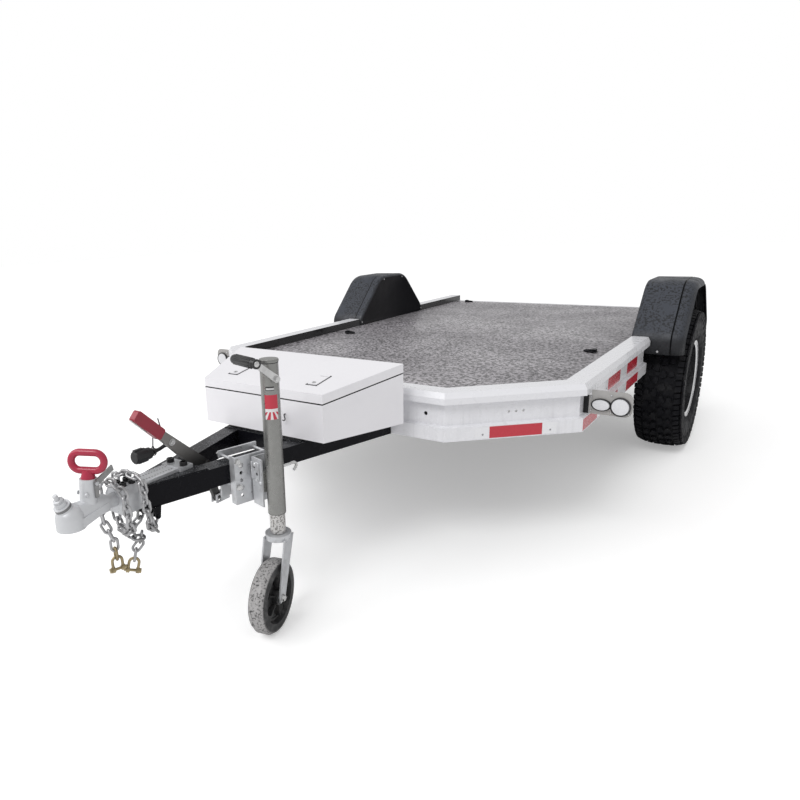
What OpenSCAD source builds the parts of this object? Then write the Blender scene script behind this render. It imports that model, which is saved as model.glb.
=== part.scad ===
// Single-axle flat-deck trailer for quad bikes, with an A-frame drawbar.
// X is across the trailer (+X is its left side as it is towed), -Y is the drawbar end, +Z is up.
// The ground is at Z = 0 and the origin is under the middle of the whole trailer.
// Inside the modules Y is measured from the front face of the deck rail, and place() moves it.

/* [Deck and rails] */
// Width over the deck rails
deck_w = 1886; // [1500:2:2100]
// Length from the front rail to the rear beam
deck_l = 3162; // [2800:2:3600]
// Height of the top of the rails above the ground
cap_top = 690; // [640:1:760]
// Width of the flat front rail between its two corners
front_w = 1078; // [900:2:1250]
// Length of each cut-off corner along the deck
corner_l = 388; // [250:2:420]
// Width of the cap on top of the rails
cap_w = 90; // [70:1:110]
// Full depth of the rails
rail_h = 192; // [170:1:210]
// Height of the cap's outer nose
nose_h = 45; // [35:1:55]
// Sheet thickness of the folded rails
rail_t = 4; // [3:0.5:6]
// How far the deck lies below the top of the rails
deck_drop = 43; // [30:1:60]
// Thickness of the chequer plate
deck_t = 4; // [3:0.5:6]
// Height of the channels under the deck
member_h = 81.5; // [60:0.5:100]

/* [Drawbar] */
// Side of the square drawbar tube
tube_s = 65; // [50:1:80]
// Wall of the square tubes
tube_t = 4; // [3:0.5:6]
// How far the nose of the drawbar stands ahead of the deck
drawbar_l = 998; // [850:1:1200]
// Half width of the nose over the tubes
nose_half = 41.7; // [36:0.1:60]
// Angle of each drawbar tube from the centre line
splay = 14.59; // [12:0.01:18]

/* [Running gear] */
// Distance of the axle behind the front rail
axle_y = 2008; // [1700:1:2200]
// Tyre outside diameter
tyre_d = 790; // [700:1:830]
// Tyre section width
tyre_w = 240; // [195:1:275]
// Gap between the inner edge of the rails and each tyre
wheel_gap = 19; // [12:1:60]
// Diameter of the rim's bead seat
rim_d = 406; // [356:1:432]
// Side of the square axle tube
axle_s = 70; // [50:1:80]
// Diameter of the wheel spindles
spindle_d = 40; // [30:1:45]
// Number of spokes in each wheel
spokes = 6; // [5:1:8]

/* [Mudguards] */
// Length of a mudguard over its lower ends
guard_l = 870; // [780:1:980]
// Length of the flat top of a mudguard
guard_top_l = 330; // [250:1:420]
// Height of the mudguards above the top of the rails
guard_rise = 267; // [230:1:300]
// How far the mudguards' lower edges hang below the top of the rails
guard_drop = 90; // [60:1:140]
// Wall of the mudguards
guard_t = 4; // [3:0.5:6]

/* [Toolbox] */
// Width of the toolbox at its front
box_front_w = 572; // [450:2:640]
// Width of the toolbox at its back
box_rear_w = 814; // [650:2:900]
// Length of the toolbox
box_l = 344; // [300:1:400]
// Gap between the toolbox and the front rail
box_gap = 73; // [60:1:90]
// Height of the side of the tub at the front
tub_front_h = 141; // [110:1:170]
// Height of the side of the tub at the back
tub_rear_h = 197; // [150:1:220]
// Depth of the lid's edge
lid_h = 33; // [25:1:45]
// Sheet thickness of the toolbox
box_t = 2; // [1.5:0.5:3]

/* [Jockey wheel] */
// Outside diameter of the outer tube
jack_d = 60; // [48:1:65]
// Height of the top of the outer tube
jack_top = 912; // [860:1:960]
// Height of the lower end of the outer tube
jack_low = 395; // [380:1:420]
// Distance of the tube's axis from the drawbar's face
jack_off = 107.7; // [100:0.1:120]
// Place of the tube along the drawbar, from the front rail
jack_y = -637; // [-700:1:-600]
// Diameter of the jockey wheel
jwheel_d = 247; // [200:1:260]
// Width of the jockey wheel's tread
jwheel_w = 58; // [50:1:70]

/* [Coupling] */
// Diameter of the tow ball that the socket takes
ball_d = 50; // [50:0.1:50.8]
// How far the coupling's long axis lies below the top of the nose
neck_drop = 19.5; // [15:0.5:25]
// How far the middle of the ball lies below that axis
ball_drop = 3; // [0:0.5:8]

/* [Hidden] */
$fn = 48;

// Running clearance on the radius of every pin, shaft and spindle
run = 0.1;
// Gap between soft or round parts that lie against each other
rest = 0.3;

// Heights and widths that follow from the driving dimensions
half_w = deck_w / 2;
front_half = front_w / 2;
deck_z = cap_top - deck_drop;
member_z = deck_z - deck_t - member_h;
tube_z = member_z - tube_s;
lip_z = cap_top - rail_h;
web_in = 27;
lip_in = 9;
web_x = half_w - web_in;
inner_x = half_w - cap_w;
guard_z = cap_top + guard_rise;
guard_low_z = cap_top - guard_drop;
plate_t = 6;
nose_floor = tube_z + tube_s + plate_t;
neck_z = nose_floor - neck_drop;
ball_z = neck_z - ball_drop;

// The nose of the coupling and the tail lamps set the length, and the origin is half way
cup_y = -1226;
cup_r = 41;
stud_l = 88;
stud_r = 7;
stud_tilt = 25;
lamp_t = 12;
nose_y = cup_y - max(cup_r, stud_l * sin(stud_tilt) + stud_r * cos(stud_tilt));
mid_y = (nose_y + deck_l + lamp_t) / 2;
module place() { translate([0, -mid_y, 0]) children(); }
module both_sides() { children(); mirror([1, 0, 0]) children(); }

// Plain geometry helpers

function unit(v) = v / norm(v);
function left_of(v) = [-v[1], v[0]];

// Points of an arc
function arc(c, r, a0, a1, n) =
    [for (i = [0 : n]) c + r * [cos(a0 + (a1 - a0) * i / n), sin(a0 + (a1 - a0) * i / n)]];

// Rounds one corner of an outline with a tangent arc
function fillet(p0, p1, p2, r, n = 6) =
    let (
        u = unit(p0 - p1), v = unit(p2 - p1),
        half = acos(u * v) / 2,
        c = p1 + unit(u + v) * r / sin(half),
        s = u[0] * v[1] - u[1] * v[0] > 0 ? -1 : 1,
        start = p1 + u * r / tan(half) - c
    )
    [for (i = [0 : n])
        let (a = s * (180 - 2 * half) * i / n)
        c + [start[0] * cos(a) - start[1] * sin(a), start[0] * sin(a) + start[1] * cos(a)]];

// An outline with every corner rounded; an open one keeps its two ends
function rounded(pts, r, closed = true, n = 6) =
    let (k = len(pts))
    closed
        ? [for (i = [0 : k - 1]) each fillet(pts[(i + k - 1) % k], pts[i], pts[(i + 1) % k], r, n)]
        : concat([pts[0]], [for (i = [1 : k - 2]) each fillet(pts[i - 1], pts[i], pts[i + 1], r, n)],
            [pts[k - 1]]);

// A folded sheet: the path is one face, and the sheet lies to its left
function mitre(d0, d1) =
    let (n0 = left_of(d0), n1 = left_of(d1)) (n0 + n1) / (1 + n0 * n1);
function sheet(path, t) =
    let (k = len(path), d = [for (i = [0 : k - 2]) unit(path[i + 1] - path[i])])
    concat(path, [for (i = [k - 1 : -1 : 0])
        path[i] + t * mitre(d[max(i - 1, 0)], d[min(i, k - 2)])]);

// Extrusions along X and Y of an outline drawn with its second axis up
module along_x(l) { rotate([90, 0, 90]) linear_extrude(l) children(); }
module along_y(l) { translate([0, l, 0]) rotate([90, 0, 0]) linear_extrude(l) children(); }

// A square tube along X, standing on the XY plane with one face on Y = 0
module square_tube(l, s, t) {
    along_x(l) difference() {
        square(s);
        translate([t, t]) square(s - 2 * t);
    }
}

// A tube swept along points: a ring of corners lies across the mean direction at each point
module swept(pts, r, sides = 8, closed = false) {
    k = len(pts);
    dirs = [for (i = [0 : k - 1]) closed
        ? unit(pts[(i + 1) % k] - pts[(i + k - 1) % k])
        : unit(pts[min(i + 1, k - 1)] - pts[max(i - 1, 0)])];
    up = closed ? [0, 0, 1] : [1, 0.2, 0.1];
    rings = [for (i = [0 : k - 1])
        let (u = unit(cross(dirs[i], up)), v = cross(dirs[i], u))
        for (j = [0 : sides - 1]) pts[i] + r * (cos(360 * j / sides) * u + sin(360 * j / sides) * v)];
    walls = [for (i = [0 : closed ? k - 1 : k - 2], j = [0 : sides - 1])
        let (m = (i + 1) % k, n = (j + 1) % sides)
        [i * sides + j, i * sides + n, m * sides + n, m * sides + j]];
    ends = closed ? [] : [[for (j = [sides - 1 : -1 : 0]) j],
        [for (j = [0 : sides - 1]) (k - 1) * sides + j]];
    polyhedron(rings, concat(walls, ends));
}

// Deck rails

// Cap, sloped nose, web and bottom lip of the rail as one fold, from its inner leg outwards
rail_fold = [
    [cap_w, -deck_drop - deck_t], [cap_w, 0], [12, 0], [0, -21], [0, -nose_h],
    [web_in, -nose_h - 8], [web_in, -132], [lip_in, -138], [lip_in, -rail_h], [38, -rail_h]];

front_corner = [front_half, 0];
side_corner = [half_w, corner_l];
dir_front = [1, 0];
dir_corner = unit(side_corner - front_corner);
dir_side = [0, 1];
mitre_front = mitre(dir_front, dir_corner);
mitre_side = mitre(dir_corner, dir_side);

// Gap between the rails and the mudguards
guard_gap = 8;
guard_y0 = axle_y - guard_l / 2;
guard_y1 = axle_y + guard_l / 2;
rail_stop_y = guard_y0 - guard_gap;
rail_back_y = guard_y1 + guard_gap;

// One straight length of rail from plan point a to b, cut along the mitres ma and mb
module rail(a, b, ma, mb) {
    over = 150;
    margin = 5;
    dir = unit(b - a);
    intersection() {
        translate([a[0], a[1], cap_top]) rotate(atan2(dir[1], dir[0])) translate([-over, 0, 0])
            along_x(norm(b - a) + 2 * over) polygon(sheet(rail_fold, rail_t));
        translate([0, 0, lip_z - margin]) linear_extrude(rail_h + 2 * margin)
            polygon([a - margin * ma, b - margin * mb,
                b + (cap_w + margin) * mb, a + (cap_w + margin) * ma]);
    }
}

module front_rail() {
    color("white") place() difference() {
        rail([-front_half, 0], front_corner, [-mitre_front[0], mitre_front[1]], mitre_front);
        drawbar_tube_space();
        mirror([1, 0, 0]) drawbar_tube_space();
        both_sides() web_hole([front_half - 91, 0], 0, 8);
    }
}

// A hole through the web of a rail, a given way along it from plan point a
hole_drop = 93;
module web_hole(a, turn, r, along = 0) {
    translate([a[0], a[1], cap_top - hole_drop]) rotate(turn) translate([along, web_in - 1, 0])
        rotate([-90, 0, 0]) cylinder(r = r, h = rail_t + 2);
}

// The corner has three bolt holes near the middle of its web
module corner_rail() {
    middle = norm(side_corner - front_corner) / 2 + 12;
    pitch = 29;
    color("white") place() difference() {
        rail(front_corner, side_corner, mitre_front, mitre_side);
        for (i = [-1 : 1]) web_hole(front_corner, atan2(dir_corner[1], dir_corner[0]), 5,
            middle + i * pitch);
    }
}
module corner_rail_left() { corner_rail(); }
module corner_rail_right() { mirror([1, 0, 0]) corner_rail(); }

module side_rail() {
    color("white") place()
        rail(side_corner, [half_w, rail_stop_y], mitre_side, left_of(dir_side));
}
module side_rail_left() { side_rail(); }
module side_rail_right() { mirror([1, 0, 0]) side_rail(); }

module rear_rail() {
    color("white") place()
        rail([half_w, rail_back_y], [half_w, deck_l], left_of(dir_side), left_of(dir_side));
}
module rear_rail_left() { rear_rail(); }
module rear_rail_right() { mirror([1, 0, 0]) rear_rail(); }

// Rear beam: a channel that opens forwards under the deck plate

beam_d = 50;
beam_h = deck_z - lip_z;

module rear_beam() {
    color("white") place() translate([-inner_x, deck_l - beam_d, lip_z]) along_x(2 * inner_x)
        polygon(sheet([[0, 0], [beam_d, 0], [beam_d, beam_h], [0, beam_h]], rail_t));
}

// Deck

module deck_plate() {
    inner = [
        [front_half, 0] + cap_w * mitre_front,
        side_corner + cap_w * mitre_side,
        [inner_x, deck_l - beam_d]];
    color("dimgray") place() translate([0, 0, deck_z - deck_t]) linear_extrude(deck_t)
        polygon(concat(inner, [for (i = [2 : -1 : 0]) [-inner[i][0], inner[i][1]]]));
}

// Channels across the chassis; the first rows follow the cut-off corners
member_first_y = 200;
member_pitch = 400;
member_count = 8;
member_w = 40;
guard_inner_x = inner_x - 7;

function web_half(y) = y < corner_l
    ? front_half + (half_w - front_half) * y / corner_l - (web_in + rail_t) / dir_corner[1]
    : half_w - web_in - rail_t;
function member_half(y) = y > rail_stop_y - member_w && y < rail_back_y
    ? guard_inner_x - guard_t
    : web_half(y);

module cross_members() {
    color("black") place() for (i = [0 : member_count - 1]) {
        y = min(member_first_y + i * member_pitch, deck_l - beam_d - member_w - 60);
        x = member_half(y);
        translate([-x, y, member_z]) along_x(2 * x)
            polygon(sheet([[member_w, member_h], [0, member_h], [0, 0], [member_w, 0]], tube_t));
    }
}

// Two square tubes along the chassis that carry the axle
chassis_x = inner_x - 163;

module chassis_rails() {
    y0 = member_first_y + member_pitch;
    color("black") place() both_sides()
        translate([chassis_x, y0, tube_z]) rotate(90)
            square_tube(deck_l - beam_d - y0, tube_s, tube_t);
}

// Drawbar

// The frame in which a drawbar tube's outer face is the plane X = 0 and Y runs rearwards
module on_drawbar() {
    translate([nose_half, -drawbar_l, 0]) rotate(-splay) children();
}
function drawbar_face_x(y) = nose_half + (y + drawbar_l) * tan(splay);

function drawbar_in_x(y) = drawbar_face_x(y) - tube_s / cos(splay);

drawbar_run = (chassis_x - nose_half) / sin(splay);

module drawbar_tube_space() {
    on_drawbar() translate([-tube_s, 0, tube_z]) cube([tube_s, drawbar_run, tube_s]);
}

module drawbar() {
    x1 = chassis_x - tube_s;
    color("black") place() intersection() {
        on_drawbar() translate([0, -tube_s, tube_z]) rotate(90)
            square_tube(drawbar_run, tube_s, tube_t);
        translate([0, -drawbar_l, tube_z - 1]) cube([x1, 2 * deck_l, tube_s + 2]);
    }
}
module drawbar_left() { drawbar(); }
module drawbar_right() { mirror([1, 0, 0]) drawbar(); }

// Channel between the drawbar tubes, below the front of the toolbox
box_y0 = -box_gap - box_l;
cross_w = 60;

module drawbar_cross_member() {
    y1 = box_y0 + cross_w;
    x0 = drawbar_in_x(box_y0);
    x1 = drawbar_in_x(y1);
    color("black") place() difference() {
        translate([0, 0, tube_z]) linear_extrude(tube_s)
            polygon([[-x0, box_y0], [x0, box_y0], [x1, y1], [-x1, y1]]);
        translate([-x1, box_y0 + tube_t, tube_z + tube_t])
            cube([2 * x1, cross_w, tube_s - 2 * tube_t]);
    }
}

// Plates that close the nose above and below the tubes
plate_l = 210;

// Round bar between lugs under the nose, where each chain has its first link
chain_bar_y = -966;
chain_bar_z = neck_z - 88;
chain_bar_r = 6;
chain_start_x = 34;

module nose_plates() {
    edge = 3;
    y0 = -drawbar_l;
    y1 = y0 + plate_l;
    color("black") place() for (z = [tube_z - plate_t, tube_z + tube_s])
        translate([0, 0, z]) linear_extrude(plate_t)
            polygon([[-drawbar_face_x(y0) + edge, y0], [drawbar_face_x(y0) - edge, y0],
                [drawbar_face_x(y1) - edge, y1], [-drawbar_face_x(y1) + edge, y1]]);
    color("black") place() {
        both_sides() for (x = [chain_start_x - 18, chain_start_x + 12])
            translate([x, chain_bar_y, 0]) along_x(6) polygon(concat(
                [[14, tube_z - plate_t], [-14, tube_z - plate_t]],
                arc([0, chain_bar_z], 9, 180, 360, 12)));
        translate([-chain_start_x - 22, chain_bar_y, chain_bar_z]) rotate([0, 90, 0])
            cylinder(r = chain_bar_r, h = 2 * (chain_start_x + 22));
    }
}

// Running gear

hub_z = tyre_d / 2;
tyre_in_x = inner_x + wheel_gap;
tyre_mid_x = tyre_in_x + tyre_w / 2;
tyre_out_x = tyre_in_x + tyre_w;
arm_l = 150;
arm_drop = tube_z - axle_s / 2 - 28 - hub_z;
axle_tube_y = axle_y - arm_l;
axle_tube_z = hub_z + arm_drop;
arm_x = tyre_in_x - 72;
arm_t = 24;
flange_x = tyre_mid_x + 18;
hub_flange_t = 12;

module axle_beam() {
    seat_w = 110;
    seat_h = tube_z - axle_tube_z - axle_s / 2;
    color("black") place() {
        translate([-arm_x + rest, axle_tube_y - axle_s / 2, axle_tube_z - axle_s / 2])
            square_tube(2 * (arm_x - rest), axle_s, tube_t + 1);
        both_sides() translate([chassis_x - tube_s, axle_tube_y - seat_w / 2,
            axle_tube_z + axle_s / 2])
            cube([tube_s, seat_w, seat_h]);
    }
}

// Trailing arm, brake backing plate and spindle, fixed in the end of the axle tube
backing_x = tyre_in_x - 10;
backing_r = 134;

module stub_axle() {
    length = norm([arm_l, arm_drop]);
    translate([arm_x, axle_tube_y, axle_tube_z]) rotate([-atan2(arm_drop, arm_l), 0, 0]) {
        rotate([0, 90, 0]) cylinder(r = 42, h = arm_t);
        translate([0, 0, -34]) cube([arm_t, length, 68]);
    }
    translate([arm_x, axle_y, hub_z]) rotate([0, 90, 0]) {
        cylinder(r = 40, h = backing_x - arm_x);
        cylinder(d = spindle_d, h = flange_x + 30 - arm_x);
        translate([0, 0, backing_x - arm_x - 5]) cylinder(r = backing_r, h = 5);
    }
}
module stub_axles() { color("dimgray") place() both_sides() stub_axle(); }

// Hub with its brake drum and stud flange, turning on the spindle
drum_w = 62;
drum_gap = 3;

module hub() {
    x0 = backing_x + drum_gap;
    color("gray") place() translate([x0, axle_y, hub_z]) rotate([0, 90, 0]) difference() {
        union() {
            cylinder(r = 128, h = drum_w);
            cylinder(r = 46, h = flange_x - x0);
            translate([0, 0, flange_x - hub_flange_t - x0]) cylinder(r = 82, h = hub_flange_t);
            translate([0, 0, flange_x - x0]) cylinder(r = 36, h = 42);
        }
        translate([0, 0, -1]) cylinder(d = spindle_d + 2 * run, h = flange_x + 31 - x0);
        translate([0, 0, -1]) cylinder(r = 118, h = drum_w - 9);
    }
}
module hub_left() { hub(); }
module hub_right() { mirror([1, 0, 0]) hub(); }

// Pressed rim and cast centre in one piece; the middle plane of the tyre is X = tyre_mid_x
rim_w = 205;
rim_t = 8;
lip_h = 14;
lip_run = 6;

function rim_wall() = [
    [rim_d / 2 + lip_h, -rim_w / 2], [rim_d / 2 + lip_h, -rim_w / 2 + rim_t],
    [rim_d / 2, -rim_w / 2 + rim_t + lip_run], [rim_d / 2, -rim_w / 2 + 40],
    [rim_d / 2 - 22, -rim_w / 2 + 62], [rim_d / 2 - 22, 12], [rim_d / 2, 34],
    [rim_d / 2, rim_w / 2 - rim_t - lip_run], [rim_d / 2 + lip_h, rim_w / 2 - rim_t],
    [rim_d / 2 + lip_h, rim_w / 2]];

module rim() {
    r_in = rim_d / 2 - 22 - rim_t;
    disc_t = 22;
    disc_z = flange_x - tyre_mid_x;
    color("silver") place() translate([tyre_mid_x, axle_y, hub_z]) rotate([0, 90, 0]) difference() {
        union() {
            rotate_extrude() polygon(sheet([for (p = rim_wall()) [p[0], p[1]]], rim_t));
            translate([0, 0, disc_z]) cylinder(r = r_in + 4, h = disc_t);
        }
        translate([0, 0, disc_z - 1]) cylinder(r = 37, h = disc_t + 2);
        for (i = [0 : spokes - 1]) rotate(i * 360 / spokes) translate([0, 0, disc_z - 1])
            linear_extrude(disc_t + 2)
                polygon(rounded(concat(arc([0, 0], 78, -11, 11, 3), arc([0, 0], r_in - 12, 20, -20, 5)),
                    5, n = 3));
    }
}
module rim_left() { rim(); }
module rim_right() { mirror([1, 0, 0]) rim(); }

// Tyre carcass, open on the inside between its beads
module tyre() {
    r = tyre_d / 2;
    bead = rim_d / 2 + rest;
    half = tyre_w / 2;
    in_half = rim_w / 2 - rim_t - lip_run - rest;
    outer = [
        [bead, -in_half], [bead + lip_h + 6, -in_half], [bead + 52, -half + 6], [bead + 95, -half],
        [r - 60, -half + 3],
        [r - 14, -half + 22], [r, -half + 45], [r, half - 45], [r - 14, half - 22],
        [r - 60, half - 3], [bead + 95, half], [bead + 52, half - 6], [bead + lip_h + 6, in_half],
        [bead, in_half]];
    color("black") place() translate([tyre_mid_x, axle_y, hub_z]) rotate([0, 90, 0])
        rotate_extrude() polygon(sheet(outer, 15));
}
module tyre_left() { tyre(); }
module tyre_right() { mirror([1, 0, 0]) tyre(); }

// Mudguards

guard_out_x = tyre_out_x - 14;
guard_in_x = guard_inner_x;

// Side outline of the guard, drawn inwards by d from its outer skin
function guard_line(d) = rounded([
    [guard_y0 + d, guard_low_z], [guard_y0 + d, cap_top + 4],
    [axle_y - guard_top_l / 2 + d / 2, guard_z - d], [axle_y + guard_top_l / 2 - d / 2, guard_z - d],
    [guard_y1 - d, cap_top + 4], [guard_y1 - d, guard_low_z]], 70, closed = false, n = 5);

module mudguard() {
    width = guard_out_x - guard_in_x;
    shoulder = 40;
    color("black") place() translate([guard_in_x, 0, 0]) difference() {
        union() {
            along_x(width - shoulder) polygon(guard_line(0));
            hull() {
                translate([width - shoulder - 1, 0, 0]) along_x(1) polygon(guard_line(0));
                translate([width - shoulder * 0.3, 0, 0]) along_x(1) polygon(guard_line(12));
                translate([width - 1, 0, 0]) along_x(1) polygon(guard_line(34));
            }
        }
        translate([guard_t, 0, 0]) hull() {
            along_x(1) polygon(guard_line(guard_t));
            translate([width - shoulder - guard_t, 0, 0]) along_x(1) polygon(guard_line(guard_t));
            translate([width, 0, 0]) along_x(1) polygon(guard_line(34 + guard_t));
        }
        translate([-1, guard_y0 - 1, guard_low_z - 1])
            cube([inner_x - guard_in_x + rest + 1, guard_l + 2, deck_z - guard_low_z + 1]);
    }
}
module mudguard_left() { mudguard(); }
module mudguard_right() { mirror([1, 0, 0]) mudguard(); }

// Lamps

board_y = 446;
board_z = cap_top - 82;
board_h = 96;
lens_z = cap_top - 90;
board_out_x = half_w + 151;
oval_x = half_w + 39;
round_x = half_w + 109;
round_r = 33;

module lamp_boards() {
    r = 28;
    x0 = web_x;
    notch_z = cap_top - nose_h - 12;
    outline = concat([[x0, board_z - board_h / 2]],
        fillet([x0, board_z - board_h / 2], [board_out_x, board_z - board_h / 2],
            [board_out_x, board_z + board_h / 2], r),
        fillet([board_out_x, board_z - board_h / 2], [board_out_x, board_z + board_h / 2],
            [x0, board_z + board_h / 2], r),
        [[half_w + 2, board_z + board_h / 2], [half_w + 2, notch_z], [x0, notch_z]]);
    color("gray") place() both_sides() translate([0, board_y + 4, 0]) {
        along_y(4) polygon(outline);
        translate([x0, 0, board_z - 5]) cube([board_out_x - x0 - 20, 30, 10]);
    }
}

module lamp_lenses() {
    color("whitesmoke") place() both_sides() {
        translate([round_x, board_y + 4, lens_z]) rotate([90, 0, 0]) cylinder(r = round_r, h = 12);
        translate([oval_x, board_y + 4, lens_z]) intersection() {
            for (s = [-1, 1]) translate([0, 0, s * 14]) rotate([90, 0, 0]) cylinder(r = 36, h = 10);
        }
    }
}

module tail_lamps() {
    color("red") place() both_sides() translate([inner_x - 160, deck_l, lip_z + beam_h / 2 - 25])
        cube([110, lamp_t, 50]);
}

// Tie-down points

ring_in = 108;
ring_x = inner_x - ring_in;
ring_ys = [1260, 3060];
ring_wire = 10;
ring_w = 66;
ring_l = 60;
pin_z = deck_z + ring_wire / 2 + rest;

// The ring is a triangle of round bar with rounded corners, lying on the deck
module ring() {
    flat = rounded([[0, -ring_w / 2], [ring_l, 0], [0, ring_w / 2]], 11);
    swept([for (p = flat) [p[0], p[1], 0]], ring_wire / 2, 12, true);
}

module ring_at(side, y) {
    color("black") place() translate([side * ring_x, y, pin_z]) rotate(side > 0 ? 180 : 0) ring();
}
module ring_front_left() { ring_at(1, ring_ys[0]); }
module ring_front_right() { ring_at(-1, ring_ys[0]); }
module ring_rear_left() { ring_at(1, ring_ys[1]); }
module ring_rear_right() { ring_at(-1, ring_ys[1]); }

// Straps over the straight side of each ring, open below where it lies on the deck
module tie_down_brackets() {
    w = 30;
    h = ring_wire + 6;
    r = ring_wire / 2 + run;
    color("black") place() both_sides() for (y = ring_ys) translate([ring_x, y, deck_z])
        difference() {
            translate([-10, -w / 2, 0]) cube([20, w, h]);
            translate([0, 0, pin_z - deck_z]) rotate([90, 0, 0])
                cylinder(r = r, h = w + 2, center = true);
            translate([-r, -w / 2 - 1, -1]) cube([2 * r, w + 2, pin_z - deck_z + 1]);
        }
}

// Toolbox

box_z = tube_z + tube_s + 14;
seam = 3;
lid_slope = (tub_rear_h - tub_front_h) / box_l;

// Plan of the toolbox, its walls moved in by d
function box_plan(d) =
    let (
        k = (box_rear_w - box_front_w) / 2 / box_l,
        side = d * norm([1, k]),
        y0 = box_y0 + d, y1 = box_y0 + box_l - d,
        x0 = box_front_w / 2 + k * d - side, x1 = box_rear_w / 2 - k * d - side
    )
    [[-x0, y0], [x0, y0], [x1, y1], [-x1, y1]];

// The space below a plane that rises rearwards with the lid, from z to h above the tub's floor
module below_slope(z, h) {
    far = 60;
    y0 = box_y0 - far;
    y1 = box_y0 + box_l + far;
    translate([-box_rear_w, 0, 0]) along_x(2 * box_rear_w) polygon([
        [y0, z], [y1, z], [y1, box_z + h + lid_slope * (box_l + far)], [y0, box_z + h - lid_slope * far]]);
}

module tub_solid(d, floor_z, top_h) {
    intersection() {
        linear_extrude(2 * deck_l) polygon(box_plan(d));
        below_slope(floor_z, top_h);
    }
}

// Hinge along the back of the box, with its leaves on the tub and on the lid
hinge_r = 5;
hinge_half = 300;
hinge_end = 60;
hinge_y = box_y0 + box_l + hinge_r;
hinge_z = box_z + tub_front_h + lid_slope * box_l;
module hinge_barrel(x0, x1, r) {
    translate([x0, hinge_y, hinge_z]) rotate([0, 90, 0]) cylinder(r = r, h = x1 - x0);
}

module toolbox_tub() {
    pin_r = hinge_r / 2;
    color("white") place() {
        difference() {
            union() {
                tub_solid(0, box_z, tub_front_h - seam);
                tub_solid(4, box_z, tub_front_h + 12);
            }
            tub_solid(4 + box_t, box_z + box_t, tub_front_h + 40);
        }
        both_sides() {
            hinge_barrel(hinge_half + rest, hinge_half + hinge_end, hinge_r);
            translate([hinge_half + rest, hinge_y - hinge_r, hinge_z - 18])
                cube([hinge_end - rest, hinge_r, 18]);
            hinge_barrel(-1, hinge_half + 1, pin_r);
        }
    }
    color("white") place() both_sides() on_drawbar()
        translate([-tube_s, 640, tube_z + tube_s]) cube([tube_s, 250, box_z + 1 - tube_z - tube_s]);
}

module toolbox_lid() {
    color("white") place() difference() {
        union() {
            difference() {
                intersection() {
                    tub_solid(0, box_z, tub_front_h + lid_h);
                    above_slope(tub_front_h);
                }
                tub_solid(box_t, box_z, tub_front_h + lid_h - box_t);
            }
            hinge_barrel(-hinge_half, hinge_half, hinge_r);
            translate([-hinge_half, hinge_y - hinge_r, hinge_z])
                cube([2 * hinge_half, hinge_r, 18]);
        }
        hinge_barrel(-hinge_half - 1, hinge_half + 1, hinge_r / 2 + run);
    }
}

// Everything above the sloped seam
module above_slope(h) {
    far = 60;
    y0 = box_y0 - far;
    y1 = box_y0 + box_l + far;
    top = 2 * deck_l;
    translate([-box_rear_w, 0, 0]) along_x(2 * box_rear_w) polygon([
        [y0, box_z + h - lid_slope * far], [y1, box_z + h + lid_slope * (box_l + far)],
        [y1, top], [y0, top]]);
}

// Two flush paddle latches on the lid
latch_w = 42;
latch_l = 92;
latch_t = 4;
latch_x = 192;
latch_in = 66;

module toolbox_latches() {
    r = 6;
    color("silver") place() both_sides() translate([latch_x, box_y0 + latch_in,
        box_z + tub_front_h + lid_h + latch_in * lid_slope + rest / 10])
        rotate([atan(lid_slope), 0, 0]) linear_extrude(latch_t) polygon(rounded([
            [-latch_w / 2, 0], [latch_w / 2, 0], [latch_w / 2, latch_l], [-latch_w / 2, latch_l]], r));
}

// Coupling

block_y0 = -1080;
block_y1 = -drawbar_l;
shaft_r = 22;
shaft_end_y = -1030;
bolt_rear = [30, -832];
block_section = [[-40, -45], [40, -45], [40, 12], [24, 34], [-24, 34], [-40, 12]];

module coupling_mount() {
    color("silver") place() difference() {
        union() {
            translate([0, block_y0, neck_z]) along_y(block_y1 - block_y0) polygon(block_section);
            translate([-34, block_y1, nose_floor]) cube([68, 190, 10]);
            translate([-44, bolt_rear[1] - 26, nose_floor]) cube([88, 54, 13]);
        }
        translate([0, block_y0 - 1, neck_z]) rotate([-90, 0, 0])
            cylinder(r = shaft_r + run, h = shaft_end_y - block_y0 + 2);
    }
}

// The lock's frame: origin on the coupling's axis, Z along the lock, which leans rearwards
lock_y = -1165;
lock_lean = 6;
lock_r = 25;
lock_l = 92;
stem_r = 12;
stem_l = 30;
module on_lock() { translate([0, lock_y, neck_z]) rotate([-lock_lean, 0, 0]) children(); }

latch_y = -1150;
latch_rise = 80;
latch_pin_r = 3;
head_end_y = -1112;

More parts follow.
